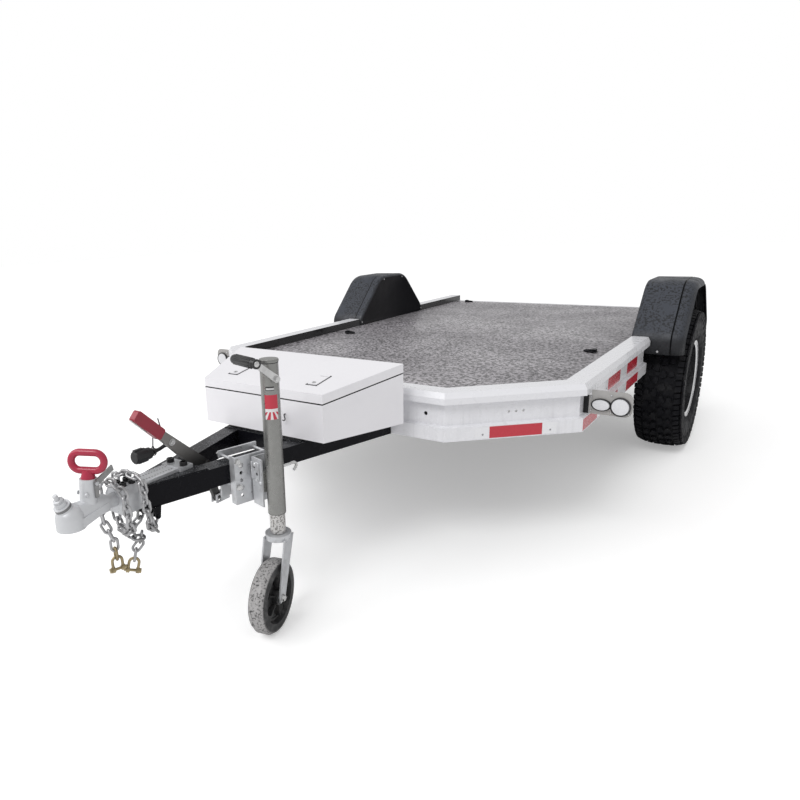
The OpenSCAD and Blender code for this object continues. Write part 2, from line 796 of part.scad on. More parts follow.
module coupling_head() {
    socket_r = ball_d / 2 + 0.6;
    flange_z = neck_z - 33;
    color("silver") place() difference() {
        union() {
            translate([0, cup_y, ball_z]) sphere(r = cup_r);
            translate([0, cup_y, flange_z]) cylinder(r = cup_r, h = ball_z - flange_z);
            intersection() {
                translate([0, 0, flange_z - 1]) linear_extrude(cup_r + 20) polygon([
                    [-cup_r + 1, cup_y], [cup_r - 1, cup_y], [30, head_end_y - 4], [-30, head_end_y - 4]]);
                translate([-cup_r - 1, 0, neck_z]) along_x(2 * cup_r + 2) polygon([
                    [cup_y - 1, -33], [head_end_y - 4, -10], [head_end_y - 4, 10], [cup_y - 1, -5]]);
            }
            translate([0, cup_y + 20, neck_z]) rotate([-90, 0, 0])
                cylinder(r1 = 34, r2 = 28, h = head_end_y - cup_y - 20);
            translate([0, head_end_y - 8, neck_z]) rotate([-90, 0, 0])
                cylinder(r = shaft_r, h = shaft_end_y + 8 - head_end_y);
            on_lock() cylinder(r = lock_r, h = lock_l);
            translate([0, cup_y, ball_z]) rotate([stud_tilt, 0, 0]) {
                cylinder(r = 24, h = 50);
                cylinder(r = 17, h = 62);
                cylinder(r = stud_r, h = stud_l);
            }
            translate([10, latch_y, neck_z + latch_rise]) rotate([0, 90, 0])
                cylinder(r = latch_pin_r, h = 25);
        }
        translate([0, cup_y, ball_z]) sphere(r = socket_r);
        translate([0, cup_y, flange_z - 1]) cylinder(r = socket_r, h = ball_z - flange_z + 1);
        translate([0, cup_y, flange_z - cup_r]) cylinder(r = cup_r, h = cup_r);
        on_lock() translate([0, 0, lock_l - stem_l - 4]) cylinder(r = stem_r + run, h = stem_l + 5);
    }
}

// Pull handle: a rounded loop on a stem that lifts out of the lock housing
handle_turn = 33;
loop_rise = 140.8;
loop_r = 26;
loop_half = 21.5;
loop_wire = 10.5;

module coupling_handle() {
    color("crimson") place() on_lock() {
        translate([0, 0, lock_l - stem_l]) cylinder(r = stem_r, h = stem_l + 4);
        translate([0, 0, lock_l + rest]) cylinder(r1 = 21, r2 = 15, h = 24);
        rotate(handle_turn) translate([0, 0, loop_rise]) rotate([90, 0, 0]) {
            for (s = [-1, 1]) {
                translate([s * loop_half, 0, 0]) rotate(s > 0 ? -90 : 90)
                    rotate_extrude(angle = 180) translate([loop_r, 0]) circle(r = loop_wire);
                translate([-loop_half, s * loop_r, 0]) rotate([0, 90, 0])
                    cylinder(r = loop_wire, h = 2 * loop_half);
            }
        }
    }
}

// Thumb latch on the side of the lock: a leg that hangs down and a blade that points rearwards
module coupling_latch() {
    t = 6;
    color("silver") place() translate([lock_r + rest, latch_y, neck_z + latch_rise]) difference() {
        along_x(t) polygon([[-7, -42], [3, -42], [7, -6], [60, 22], [56, 38], [4, 12], [-7, 4]]);
        translate([-1, 0, 0]) rotate([0, 90, 0]) cylinder(r = latch_pin_r + run, h = t + 2);
    }
}

// Safety chains

chain_d = 8.5;
chain_pitch = 30;
chain_w = 30;
// Play between two links that pull on each other
chain_gap = 0.4;
chain_r = (chain_w - chain_d) / 2;
// Length of a link's straight legs, and the distance between the bends of two links that meet
chain_leg = chain_pitch + chain_d - 2 * chain_r;
chain_hop = 2 * chain_r - chain_d - chain_gap;
chain_step = chain_leg + chain_hop;

// The ways the two chains lie, from the bar under the nose; heights are from the coupling's axis
chain_start = [chain_start_x, chain_bar_y, chain_bar_z - neck_z];
wrap_route = [
    chain_start, [34, -972, -112], [56, -990, -124], [70, -1012, -98], [66, -1018, -28],
    [62, -1020, 48], [0, -1022, 64], [-62, -1024, 48], [-66, -1030, -28], [-60, -1040, -96],
    [0, -1056, -112], [60, -1076, -96], [66, -1086, -28], [60, -1088, 44], [0, -1089, 58],
    [-60, -1090, 44], [-64, -1090, -28], [-58, -1088, -92], [-34, -1084, -120],
    [-24, -1083, -148], [-20, -1082, -218]];
coil_route = [
    [-chain_start[0], chain_start[1], chain_start[2]], [-34, -974, -120], [-54, -1000, -136],
    [-40, -1032, -140], [-4, -1030, -142], [18, -1004, -150], [6, -984, -164], [-8, -1010, -176],
    [0, -1032, -198], [2, -1034, -228]];

// Rounds a route by cutting its corners n times
function cut_corners(p, n = 3) = n == 0 ? p : cut_corners(concat([p[0]],
    [for (i = [0 : len(p) - 2]) each [0.75 * p[i] + 0.25 * p[i + 1], 0.25 * p[i] + 0.75 * p[i + 1]]],
    [p[len(p) - 1]]), n - 1);

// Tables of X, Y and Z against the run along a route, and the place at a run
function run_tables(p) =
    let (run = [for (i = 0, l = 0; i < len(p); i = i + 1, l = l + (i < len(p) ? norm(p[i] - p[i - 1]) : 0))
        l])
    [for (k = [0 : 2]) [for (i = [0 : len(p) - 1]) [run[i], p[i][k]]]];
function at_run(tables, l) = [for (t = tables) lookup(l, t)];
function run_end(tables) = tables[0][len(tables[0]) - 1][0];

// The run, near l, at which the route lies at a given distance from point p
function run_at(tables, p, distance, l, n = 10) = n == 0 ? l
    : run_at(tables, p, distance, l + distance - norm(at_run(tables, l) - p), n - 1);
function across(v, n) = unit(v - (v * n) * n);

// Links that follow a route, each as the centre of its first bend, its direction and the normal of
// its plane. The next link swings about this link's far bend in this link's plane, and then about
// its own first bend in its own plane, so two links that meet always lie chain_gap apart.
function follow(tables, c, v, n, l) =
    let (far = c + chain_leg * v, next = run_at(tables, far, chain_step, l + chain_step))
    next > run_end(tables) ? [[c, v, n]]
    : let (
        target = at_run(tables, next),
        swing = across(target - far, n),
        c2 = far + chain_hop * swing,
        n2 = cross(swing, n)
    )
    concat([[c, v, n]], follow(tables, c2, across(target - c2, n2), n2, next));
function chain_along(route) =
    let (
        tables = run_tables(cut_corners(route)),
        n = [1, 0, 0],
        l = run_at(tables, route[0], chain_leg, chain_leg)
    )
    follow(tables, route[0], across(at_run(tables, l) - route[0], n), n, l);

wrap_links = chain_along(wrap_route);
coil_links = chain_along(coil_route);

// The frame of a link: origin in its first bend, Z along it and X across its plane
module on_link(c, v, n) {
    u = cross(v, n);
    multmatrix([[n[0], u[0], v[0], c[0]], [n[1], u[1], v[1], c[1]], [n[2], u[2], v[2], c[2]],
        [0, 0, 0, 1]]) children();
}
module half_ring(r, d, up) {
    rotate([90, 0, 90]) rotate(up ? 0 : 180) rotate_extrude(angle = 180, $fn = 24)
        translate([r, 0]) circle(d = d, $fn = 16);
}
module link() {
    half_ring(chain_r, chain_d, false);
    translate([0, 0, chain_leg]) half_ring(chain_r, chain_d, true);
    for (s = [-1, 1]) translate([0, s * chain_r, 0]) cylinder(d = chain_d, h = chain_leg, $fn = 16);
}

// The wrapped chain ends in a brass link
module safety_chains() {
    color("silver") place() translate([0, 0, neck_z]) {
        for (i = [0 : len(wrap_links) - 2]) on_link(wrap_links[i][0], wrap_links[i][1], wrap_links[i][2])
            link();
        for (k = coil_links) on_link(k[0], k[1], k[2]) link();
    }
}

bow_d = 9;
bow_r = 15;
bow_leg = 26;

// A shackle that hangs straight down from the far bend of a chain's last link
module shackle_below(last) {
    n = last[2];
    down = across([0, 0, -1], n);
    far = last[0] + chain_leg * last[1];
    c = far + (chain_r + bow_r - (chain_d + bow_d) / 2 - chain_gap) * down;
    on_link(c, down, cross(down, n)) {
        half_ring(bow_r, bow_d, false);
        for (s = [-1, 1]) {
            translate([0, s * bow_r, 0]) cylinder(d = bow_d, h = bow_leg);
            translate([0, s * bow_r - bow_d / 2 - 1, bow_leg]) rotate([-90, 0, 0])
                cylinder(r = 9, h = bow_d + 2);
        }
        translate([0, -bow_r - 12, bow_leg]) rotate([-90, 0, 0]) cylinder(r = 4.5, h = 2 * bow_r + 20);
        translate([0, bow_r + 6, bow_leg]) rotate([-90, 0, 0]) cylinder(r = 7.5, h = 5);
    }
}

module chain_shackles() {
    last = wrap_links[len(wrap_links) - 1];
    color("goldenrod") place() translate([0, 0, neck_z]) {
        on_link(last[0], last[1], last[2]) link();
        shackle_below(last);
        shackle_below(coil_links[len(coil_links) - 1]);
    }
}

// Handbrake

brake_y = -715;
brake_rise = 33.5;
brake_z = tube_z + brake_rise;
brake_pin_r = 6;
arm_low = 130;
brake_swing = 40;
arm_back = brake_swing / 2;
arm_pin = [brake_y + arm_low * sin(arm_back), brake_z - arm_low * cos(arm_back)];
arm_pin_r = 5;
lever_angle = 43.6;
lever_len = 362;

module handbrake_bracket() {
    ear_t = 5;
    gap = 12;
    y0 = brake_y - 28;
    y1 = brake_y + 28;
    x0 = gap + ear_t;
    color("dimgray") place() {
        difference() {
            for (s = [-1, 1]) translate([s * (gap + ear_t / 2) - ear_t / 2, 0, 0]) along_x(ear_t)
                polygon([[brake_y - 28, tube_z], [brake_y + 28, tube_z], [brake_y + 28, brake_z],
                    [brake_y, brake_z + 26], [brake_y - 28, brake_z]]);
            translate([-30, brake_y, brake_z]) rotate([0, 90, 0])
                cylinder(r = brake_pin_r, h = 60);
        }
        translate([-gap - ear_t - 3, brake_y, brake_z]) rotate([0, 90, 0])
            cylinder(r = brake_pin_r, h = 2 * (gap + ear_t + 3));
        both_sides() translate([0, 0, tube_z]) linear_extrude(6)
            polygon([[x0, y0], [drawbar_in_x(y0), y0], [drawbar_in_x(y1), y1], [x0, y1]]);
    }
}

// The lever's own frame: origin on its pivot, +X along the lever towards the grip, +Y across it
module on_lever() {
    translate([0, brake_y, brake_z]) rotate([90, 0, -90]) rotate(lever_angle) children();
}

module handbrake_lever() {
    t = 16;
    color("dimgray") place() difference() {
        union() {
            on_lever() translate([0, 0, -t / 2]) linear_extrude(t)
                polygon(concat(arc([0, 0], 27, 95, 265, 8),
                    [[232, -15], [lever_len - 6, -15], [lever_len - 6, 15], [232, 15]]));
            translate([0, brake_y, brake_z]) rotate([arm_back, 0, 0])
                translate([1 - t / 2, 0, 0]) along_x(t - 2)
                polygon([[-20, 0], [-12, -arm_low - 12], [12, -arm_low - 12], [20, 0]]);
            translate([-t / 2 - 8, arm_pin[0], arm_pin[1]]) rotate([0, 90, 0])
                cylinder(r = arm_pin_r, h = t + 16);
        }
        translate([-t, brake_y, brake_z]) rotate([0, 90, 0])
            cylinder(r = brake_pin_r + run, h = 2 * t);
    }
}

module handbrake_grip() {
    t = 24;
    color("firebrick") place() difference() {
        on_lever() translate([235, 0, -t / 2]) linear_extrude(t)
            polygon(rounded([[0, -19], [lever_len - 235, -19], [lever_len - 235, 19], [0, 19]], 8));
        on_lever() translate([230, -15, -8]) cube([lever_len - 236, 30, 16]);
    }
}

// The rod slides straight, so its clevis is slotted upright for the arc of the lever's pin
rod_z = brake_z - arm_low * (1 + cos(arm_back)) / 2;
rod_r = 5;
rod_end_y = 1700;
rod_slack = 0.6;
clevis_t = 4;
guide_ys = [member_first_y, member_first_y + 3 * member_pitch];

module brake_rod() {
    rise = arm_low * (1 - cos(arm_back)) / 2 + rod_slack;
    r = arm_pin_r + rod_slack;
    half = 9.5;
    color("silver") place() {
        difference() {
            for (s = [-1, 1]) translate([s * (half + clevis_t / 2) - clevis_t / 2, arm_pin[0] - 14,
                rod_z - 16]) cube([clevis_t, 64, 32]);
            for (a = [-rise, rise]) translate([-20, arm_pin[0], rod_z + a]) rotate([0, 90, 0])
                cylinder(r = r, h = 40);
            translate([-20, arm_pin[0] - r, rod_z - rise]) cube([40, 2 * r, 2 * rise]);
        }
        translate([-half - clevis_t, arm_pin[0] + 44, rod_z - 16])
            cube([2 * (half + clevis_t), 6, 32]);
        translate([0, arm_pin[0] + 44, rod_z]) rotate([-90, 0, 0])
            cylinder(r = rod_r, h = rod_end_y - arm_pin[0] - 44);
        translate([-40, rod_end_y - 40, rod_z - 8]) cube([80, 6, 16]);
    }
}

// Hangers under two of the deck's channels that carry the rod
module brake_rod_guides() {
    color("dimgray") place() difference() {
        for (y = guide_ys) translate([-15, y, rod_z - 14]) cube([30, 6, member_z - rod_z + 14]);
        translate([0, guide_ys[0] - 50, rod_z]) rotate([-90, 0, 0])
            cylinder(r = rod_r + run, h = guide_ys[1] - guide_ys[0] + 100);
    }
}

// Trailer plug and its cable

// The plug is carried by its short stiff cable, which comes out of the tube through a gland
tube_top = tube_z + tube_s;
plug_at = [-36, -968, tube_top + 71.5];
plug_l = 88;

module trailer_plug() {
    color("black") place() translate(plug_at) rotate([-90, 0, 0]) {
        cylinder(r = 23, h = 44);
        translate([0, 0, 44]) cylinder(r = 19, h = 20);
        translate([0, 0, 64]) cylinder(r1 = 14, r2 = 8, h = plug_l - 64);
    }
}

cable_r = 6;
gland_y = -748;
gland_x = (drawbar_face_x(gland_y) + drawbar_in_x(gland_y)) / 2;
gland_h = 10;
cable_end = [-gland_x, gland_y, tube_top + gland_h + rest];
cable_way = [
    [-36, -872, 71.5], [-38, -856, 73.5], [-43, -838, 75.5], [-50, -818, 74.5], [-57, -798, 68.5],
    [-63, -781, 57.5], [-68, -767, 42.5], [-71, -757, 30.5]];
cable_route = concat([plug_at + [0, plug_l + rest, 0]], [for (p = cable_way) p + [0, 0, tube_top]],
    [cable_end + [0, 0, 8], cable_end]);

module plug_gland() {
    color("black") place() translate([-gland_x, gland_y, tube_z + tube_s])
        cylinder(r1 = 14, r2 = 10, h = gland_h);
}

module plug_cable() { color("black") place() swept(cable_route, cable_r); }

// Jockey wheel

// The jack's frame: X points away from the drawbar's outer face, Y rearwards along the tube
foot_y = jack_y + jack_off * sin(splay);
module on_jack() { translate([drawbar_face_x(foot_y), foot_y, 0]) rotate(-splay) children(); }

pivot_drop = 34.5;
pivot_z = tube_z - pivot_drop;
clamp_d = 30;
clamp_t = 6;
clamp_y0 = -105;
clamp_y1 = 45;
clamp_z0 = pivot_z - 37;
clamp_z1 = tube_z + tube_s + 27.5;
pivot_r = 10;

module jack_clamp() {
    color("lightgray") place() on_jack() {
        difference() {
            translate([0, 0, clamp_z0]) linear_extrude(clamp_z1 - clamp_z0)
                polygon(sheet([[0, clamp_y0], [clamp_d, clamp_y0], [clamp_d, clamp_y1], [0, clamp_y1]],
                    clamp_t));
            for (i = [0 : 4]) translate([clamp_d - clamp_t - 1, clamp_y0 + 24, clamp_z0 + 30 + i * 26])
                rotate([0, 90, 0]) cylinder(r = 6, h = clamp_t + 2);
        }
        translate([clamp_d - 1, 0, pivot_z]) rotate([0, 90, 0]) cylinder(r = pivot_r, h = 17);
        translate([-tube_s - 8, clamp_y0, clamp_z0]) cube([8, 150, tube_z - clamp_z0 - 4]);
        translate([-tube_s - 8, clamp_y0, tube_z + tube_s + 4]) cube([8, 150, 24]);
        for (z = [tube_z - 12, tube_z + tube_s + 12], y = [clamp_y0 + 12, clamp_y1 - 12])
            translate([-tube_s - 16, y, z]) rotate([0, 90, 0])
                cylinder(r = 5, h = tube_s + 16 + clamp_d - clamp_t / 2);
    }
}

bracket_x0 = clamp_d + 6;
bracket_t = 6;
bracket_half = 42;
bracket_z0 = pivot_z - 44;
bracket_z1 = pivot_z + 120;

module jack_bracket() {
    color("lightgray") place() on_jack() difference() {
        translate([0, 0, bracket_z0]) linear_extrude(bracket_z1 - bracket_z0) difference() {
            polygon([[bracket_x0, -bracket_half], [bracket_end, -bracket_half], [bracket_end, bracket_half],
                [bracket_x0, bracket_half]]);
            polygon([[bracket_x0 + bracket_t, -bracket_half + bracket_t],
                [bracket_end + 1, -bracket_half + bracket_t],
                [bracket_end + 1, bracket_half - bracket_t],
                [bracket_x0 + bracket_t, bracket_half - bracket_t]]);
        }
        translate([bracket_x0 - 1, 0, pivot_z]) rotate([0, 90, 0])
            cylinder(r = pivot_r + run, h = bracket_t + 2);
    }
}

inner_r = jack_d / 2 - 4;
bracket_end = 92;
bracket_in = bracket_half - bracket_t;
crank_drop = 59;
crank_z = jack_top - crank_drop;
crank_r = 8;
shaft_bore = crank_r + run;
boss_l = 32;

module jack_outer_tube() {
    color("gray") place() on_jack() difference() {
        union() {
            translate([jack_off, 0, jack_low]) cylinder(d = jack_d, h = jack_top - jack_low);
            translate([jack_off, 0, crank_z]) rotate([0, 90, 0]) cylinder(r = 16, h = boss_l);
            for (s = [-1, 1]) translate([bracket_end - 14, s > 0 ? 0 : -bracket_in, pivot_z + 8])
                cube([14, bracket_in, 70]);
        }
        translate([jack_off, 0, jack_low - 1]) cylinder(r = inner_r, h = jack_top - jack_low - 5);
        translate([jack_off, 0, crank_z]) rotate([0, 90, 0]) cylinder(r = shaft_bore, h = boss_l + 1);
    }
}

// Hooked rod that draws the catch out of the clamp
pull_r = 5;
pull_rise = 86;
pull_way = [[0, 58, 0], [2, 74, 4], [6, 82, 0], [10, 80, -10], [14, 66, -18]];

module jack_pull_pin() {
    start = [jack_off, jack_d / 2 + rest, pivot_z + pull_rise];
    color("silver") place() on_jack() swept(concat([start],
        cut_corners([for (p = pull_way) [jack_off + p[0], p[1], start[2] + p[2]]], 1)), pull_r, 10);
}

grip_y = -72;
grip_z = jack_top - 1;
arm_x0 = jack_off + boss_l + 1;
arm_w = 6;
grip_in = 18;
grip_rod = 6;

module jack_crank() {
    color("silver") place() on_jack() {
        translate([jack_off + 8, 0, crank_z]) rotate([0, 90, 0])
            cylinder(r = crank_r, h = arm_x0 - jack_off);
        translate([arm_x0, 0, crank_z]) rotate([atan2(grip_z - crank_z, grip_y), 0, 0])
            along_x(arm_w) polygon(concat(arc([0, 0], 12, 90, 270, 10),
                arc([norm([grip_y, grip_z - crank_z]), 0], 9, -90, 90, 10)));
        translate([grip_in + 6, grip_y, grip_z]) rotate([0, 90, 0])
            cylinder(r = grip_rod, h = arm_x0 + 2 - grip_in - 6);
    }
}

module jack_grip() {
    color("black") place() on_jack() translate([grip_in, grip_y, grip_z]) rotate([0, 90, 0])
        difference() {
            cylinder(r = 16, h = arm_x0 - rest - grip_in);
            translate([0, 0, 6 - rest]) cylinder(r = grip_rod + run, h = arm_x0);
        }
}

fork_top = 325;
fork_h = 22;
wheel_z = jwheel_d / 2;
trail = 70;

module jack_inner_tube() {
    color("silver") place() on_jack() translate([jack_off, 0, fork_top]) {
        difference() {
            cylinder(r = inner_r - run, h = 300);
            translate([0, 0, -1]) cylinder(r = inner_r - 6, h = 302);
        }
        translate([0, 0, -fork_h - 2]) cylinder(r = 14, h = 30);
        cylinder(r = inner_r - 3, h = 6);
    }
}

// The caster's frame: origin on the swivel axis at the ground, the wheel trails along its Y
caster_turn = 28;
module on_caster() { translate([jack_off, 0, 0]) rotate(caster_turn) children(); }

module jack_fork() {
    leg = jwheel_w / 2 + 6;
    color("silver") place() on_jack() on_caster() difference() {
        union() {
            translate([0, 0, fork_top - fork_h]) cylinder(r = 44, h = fork_h - 2);
            for (s = [-1, 1]) translate([s > 0 ? leg : -leg - 5, 0, 0]) along_x(5)
                polygon([[-34, fork_top - fork_h + 8], [34, fork_top - fork_h + 8],
                    [-trail + 20, wheel_z - 8], [-trail - 14, wheel_z - 14], [-trail - 20, wheel_z + 8]]);
            translate([-leg - 12, -trail, wheel_z]) rotate([0, 90, 0])
                cylinder(r = 7, h = 2 * leg + 24);
        }
        translate([0, 0, fork_top - fork_h - 1]) cylinder(r = 14 + run, h = fork_h + 2);
        translate([0, 0, fork_top - 2]) cylinder(r = 60, h = 20);
    }
}

module jack_wheel() {
    r = jwheel_d / 2;
    color("dimgray") place() on_jack() on_caster() translate([0, -trail, wheel_z]) rotate([0, 90, 0])
        difference() {
            rotate_extrude() polygon([
                [7 + run, -jwheel_w / 2 - 2], [26, -jwheel_w / 2 - 2], [26, -12], [r - 42, -12],
                [r - 36, -jwheel_w / 2], [r - 8, -jwheel_w / 2 + 2], [r, -jwheel_w / 2 + 14],
                [r, jwheel_w / 2 - 14], [r - 8, jwheel_w / 2 - 2], [r - 36, jwheel_w / 2],
                [r - 42, 12], [26, 12], [26, jwheel_w / 2 + 2], [7 + run, jwheel_w / 2 + 2]]);
            for (i = [0 : 5]) rotate(i * 60) translate([54, 0, -20]) cylinder(r = 13, h = 40);
        }
}

front_rail();
corner_rail_left();
corner_rail_right();
side_rail_left();
side_rail_right();
rear_rail_left();
rear_rail_right();
rear_beam();
deck_plate();
cross_members();
chassis_rails();
drawbar_left();
drawbar_right();
drawbar_cross_member();
nose_plates();
axle_beam();
stub_axles();
mudguard_left();
mudguard_right();
lamp_boards();
lamp_lenses();
tail_lamps();
tie_down_brackets();
toolbox_tub();
toolbox_lid();
toolbox_latches();
coupling_mount();
coupling_head();
coupling_handle();
coupling_latch();
safety_chains();
chain_shackles();
handbrake_bracket();
handbrake_lever();
handbrake_grip();
brake_rod();
brake_rod_guides();
trailer_plug();
plug_cable();
plug_gland();
jack_clamp();
jack_bracket();
jack_outer_tube();
jack_pull_pin();
jack_crank();
jack_grip();
jack_inner_tube();
jack_fork();
jack_wheel();
hub_left();
hub_right();
rim_left();
rim_right();
tyre_left();
tyre_right();
ring_front_left();
ring_front_right();
ring_rear_left();
ring_rear_right();
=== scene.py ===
import math

import bmesh
import bpy
from mathutils import Matrix, Vector


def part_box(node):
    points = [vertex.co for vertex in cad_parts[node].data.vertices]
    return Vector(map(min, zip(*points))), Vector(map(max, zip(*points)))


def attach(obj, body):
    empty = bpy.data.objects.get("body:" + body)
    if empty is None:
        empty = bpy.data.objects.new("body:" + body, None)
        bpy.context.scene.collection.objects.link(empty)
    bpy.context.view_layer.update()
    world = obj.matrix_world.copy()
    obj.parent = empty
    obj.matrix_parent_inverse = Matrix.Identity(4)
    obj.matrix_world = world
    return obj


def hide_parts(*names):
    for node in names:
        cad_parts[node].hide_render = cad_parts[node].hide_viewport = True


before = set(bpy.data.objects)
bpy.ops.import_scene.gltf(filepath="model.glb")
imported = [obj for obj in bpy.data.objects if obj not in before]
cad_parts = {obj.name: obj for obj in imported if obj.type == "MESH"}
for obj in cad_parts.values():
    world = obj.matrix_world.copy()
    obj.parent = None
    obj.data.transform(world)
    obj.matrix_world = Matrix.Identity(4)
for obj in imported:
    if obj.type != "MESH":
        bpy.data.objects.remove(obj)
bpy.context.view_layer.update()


# The camera stands ahead of the drawbar on the trailer's left, a little above the rails.
# The photograph was cropped off centre, which the sideways shift of the lens takes up.
camera = bpy.data.objects.new("camera", bpy.data.cameras.new("camera"))
camera.data.sensor_width = 36.0
camera.data.lens = 29.375
camera.data.shift_x = 0.1037
camera.data.clip_end = 60.0
pan, down, tilt = 37.204, 14.786, -2.174
aim = (
    Matrix.Rotation(math.radians(pan), 4, "Z")
    @ Matrix.Rotation(math.radians(90 - down), 4, "X")
    @ Matrix.Rotation(math.radians(tilt), 4, "Z")
)
camera.matrix_world = Matrix.Translation((1.5735, -3.0948, 1.3013)) @ aim
bpy.context.scene.collection.objects.link(camera)
bpy.context.scene.camera = camera
bpy.context.scene.view_settings.view_transform = "Standard"


# The floor is a pale studio sweep, white to the camera but still taking the trailer's shadow.
# Finish builds a material from nodes, and Wire lets its sums be written as plain arithmetic.
class Wire:
    def __init__(self, finish, socket):
        self.finish = finish
        self.socket = socket

    def maths(self, operation, *others):
        return self.finish.maths(operation, self, *others)

    def __add__(self, other):
        return self.maths("ADD", other)

    def __mul__(self, other):
        return self.maths("MULTIPLY", other)

    def __sub__(self, other):
        return self.maths("SUBTRACT", other)

    def __rsub__(self, other):
        return self.finish.maths("SUBTRACT", other, self)

    __radd__ = __add__
    __rmul__ = __mul__

    def __gt__(self, other):
        return self.maths("GREATER_THAN", other)

    def __lt__(self, other):
        return self.maths("LESS_THAN", other)


class Finish:
    def __init__(self, name, color, roughness=0.5, metallic=0.0, coat=0.0, specular=0.5):
        self.material = bpy.data.materials.new(name)
        self.material.use_nodes = True
        self.tree = self.material.node_tree
        self.shader = self.tree.nodes["Principled BSDF"]
        self.color = color
        self.put("Base Color", (*color, 1.0))
        self.put("Roughness", roughness)
        self.put("Metallic", metallic)
        self.put("Coat Weight", coat)
        self.put("Specular IOR Level", specular)

    def feed(self, socket, value):
        if isinstance(value, Wire):
            self.tree.links.new(value.socket, socket)
        else:
            socket.default_value = value

    def put(self, name, value):
        self.feed(self.shader.inputs[name], value)

    def node(self, kind, settings, inputs, output=0):
        node = self.tree.nodes.new(kind)
        for key, value in settings.items():
            if key == "stops":
                for stop, (place, grey) in zip(node.color_ramp.elements, value):
                    stop.position = place
                    stop.color = (grey, grey, grey, 1.0)
            else:
                setattr(node, key, value)
        for key, value in inputs.items():
            self.feed(node.inputs[key], value)
        return Wire(self, node.outputs[output])

    def maths(self, operation, *values):
        return self.node("ShaderNodeMath", {"operation": operation}, dict(enumerate(values)))

    def vector(self, operation, first, second, output=0):
        inputs = {0: first} if second is None else {0: first, 1: tuple(second)}
        return self.node("ShaderNodeVectorMath", {"operation": operation}, inputs, output)

    def place(self, scale=(1, 1, 1), turn=(0, 0, 0)):
        point = self.node("ShaderNodeTexCoord", {}, {}, "Object")
        inputs = {"Vector": point, "Rotation": turn, "Scale": scale}
        return self.node("ShaderNodeMapping", {}, inputs)

    def axis(self, name, point=None):
        return self.node("ShaderNodeSeparateXYZ", {}, {"Vector": point or self.place()}, name)

    def facing(self, name):
        """How far the surface faces along X, Y or Z."""
        return self.axis(name, self.node("ShaderNodeNewGeometry", {}, {}, "Normal"))

    def dot(self, direction, point=None):
        return self.vector("DOT_PRODUCT", point or self.place(), direction, "Value")

    def distance(self, centre, axle):
        """How far each point lies from a line through centre along axle."""
        apart = self.vector("SUBTRACT", self.place(), centre)
        ahead = self.dot(axle, apart)
        length = self.vector("LENGTH", apart, None, "Value")
        return (length * length - ahead * ahead).maths("SQRT")

    def noise(self, scale, detail=3.0, point=None, rough=0.55):
        inputs = {"Vector": point or self.place(), "Scale": scale, "Detail": detail}
        return self.node("ShaderNodeTexNoise", {}, {**inputs, "Roughness": rough})

    def cells(self, scale):
        inputs = {"Vector": self.place(), "Scale": scale}
        return self.node("ShaderNodeTexVoronoi", {}, inputs, "Distance")

    def ramp(self, value, *stops):
        return self.node("ShaderNodeValToRGB", {"stops": stops}, {"Fac": value})

    def patches(self, scale, detail, low, high, most=1.0):
        """Blotches of noise: none below the low level, and at their most above the high one."""
        return self.ramp(self.noise(scale, detail), (low, 0.0), (high, most))

    def blend(self, mask, under, over):
        under = (*under, 1.0) if isinstance(under, tuple) else under
        over = (*over, 1.0) if isinstance(over, tuple) else over
        return self.node("ShaderNodeMix", {"data_type": "RGBA"}, {0: mask, 6: under, 7: over}, 2)

    def tint(self, mask, over, under=None):
        mixed = self.blend(mask, under or self.color, over)
        self.put("Base Color", mixed)
        return mixed

    def stain(self, color, most, scale, detail=4.0, low=0.5, high=0.8):
        """Blotches of another colour."""
        return self.tint(self.patches(scale, detail, low, high, most), color)

    def wear(self, scale, smooth, rough, detail=3.0):
        """Gloss that wanders between two levels."""
        self.put("Roughness", self.ramp(self.noise(scale, detail), (0.3, smooth), (0.7, rough)))

    def bump(self, height, distance, strength=1.0):
        inputs = {"Height": height, "Distance": distance, "Strength": strength}
        self.put("Normal", self.node("ShaderNodeBump", {}, inputs))

    def grain(self, scale, depth, strength=0.4, detail=3.0):
        """A fine even texture."""
        self.bump(self.noise(scale, detail), depth, strength)


def mesh_piece(name, bm, finish, body=None, smooth=40.0):
    mesh = bpy.data.meshes.new(name)
    bmesh.ops.recalc_face_normals(bm, faces=bm.faces[:])
    bm.to_mesh(mesh)
    bm.free()
    mesh.shade_smooth()
    mesh.set_sharp_from_angle(angle=math.radians(smooth))
    mesh.materials.append(finish.material)
    made = bpy.data.objects.new(name, mesh)
    bpy.context.scene.collection.objects.link(made)
    if body:
        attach(made, body)
    return made


floor = Finish("floor_sweep", (0.86, 0.86, 0.86), roughness=0.9)
seen = floor.node("ShaderNodeLightPath", {}, {}, "Is Camera Ray")
white = (1.0, 1.0, 1.0, 1.0)
glow = floor.node("ShaderNodeEmission", {}, {"Color": white, "Strength": 0.32})
dark = floor.node("ShaderNodeEmission", {}, {"Strength": 0.0})
lit = floor.node("ShaderNodeMixShader", {}, {0: seen, 1: dark, 2: glow})
sheet = Wire(floor, floor.shader.outputs[0])
both = floor.node("ShaderNodeAddShader", {}, {0: sheet, 1: lit})
floor.tree.links.new(both.socket, floor.tree.nodes["Material Output"].inputs["Surface"])
bm = bmesh.new()
bmesh.ops.create_grid(bm, x_segments=1, y_segments=1, size=30.0)
mesh_piece("floor", bm, floor)


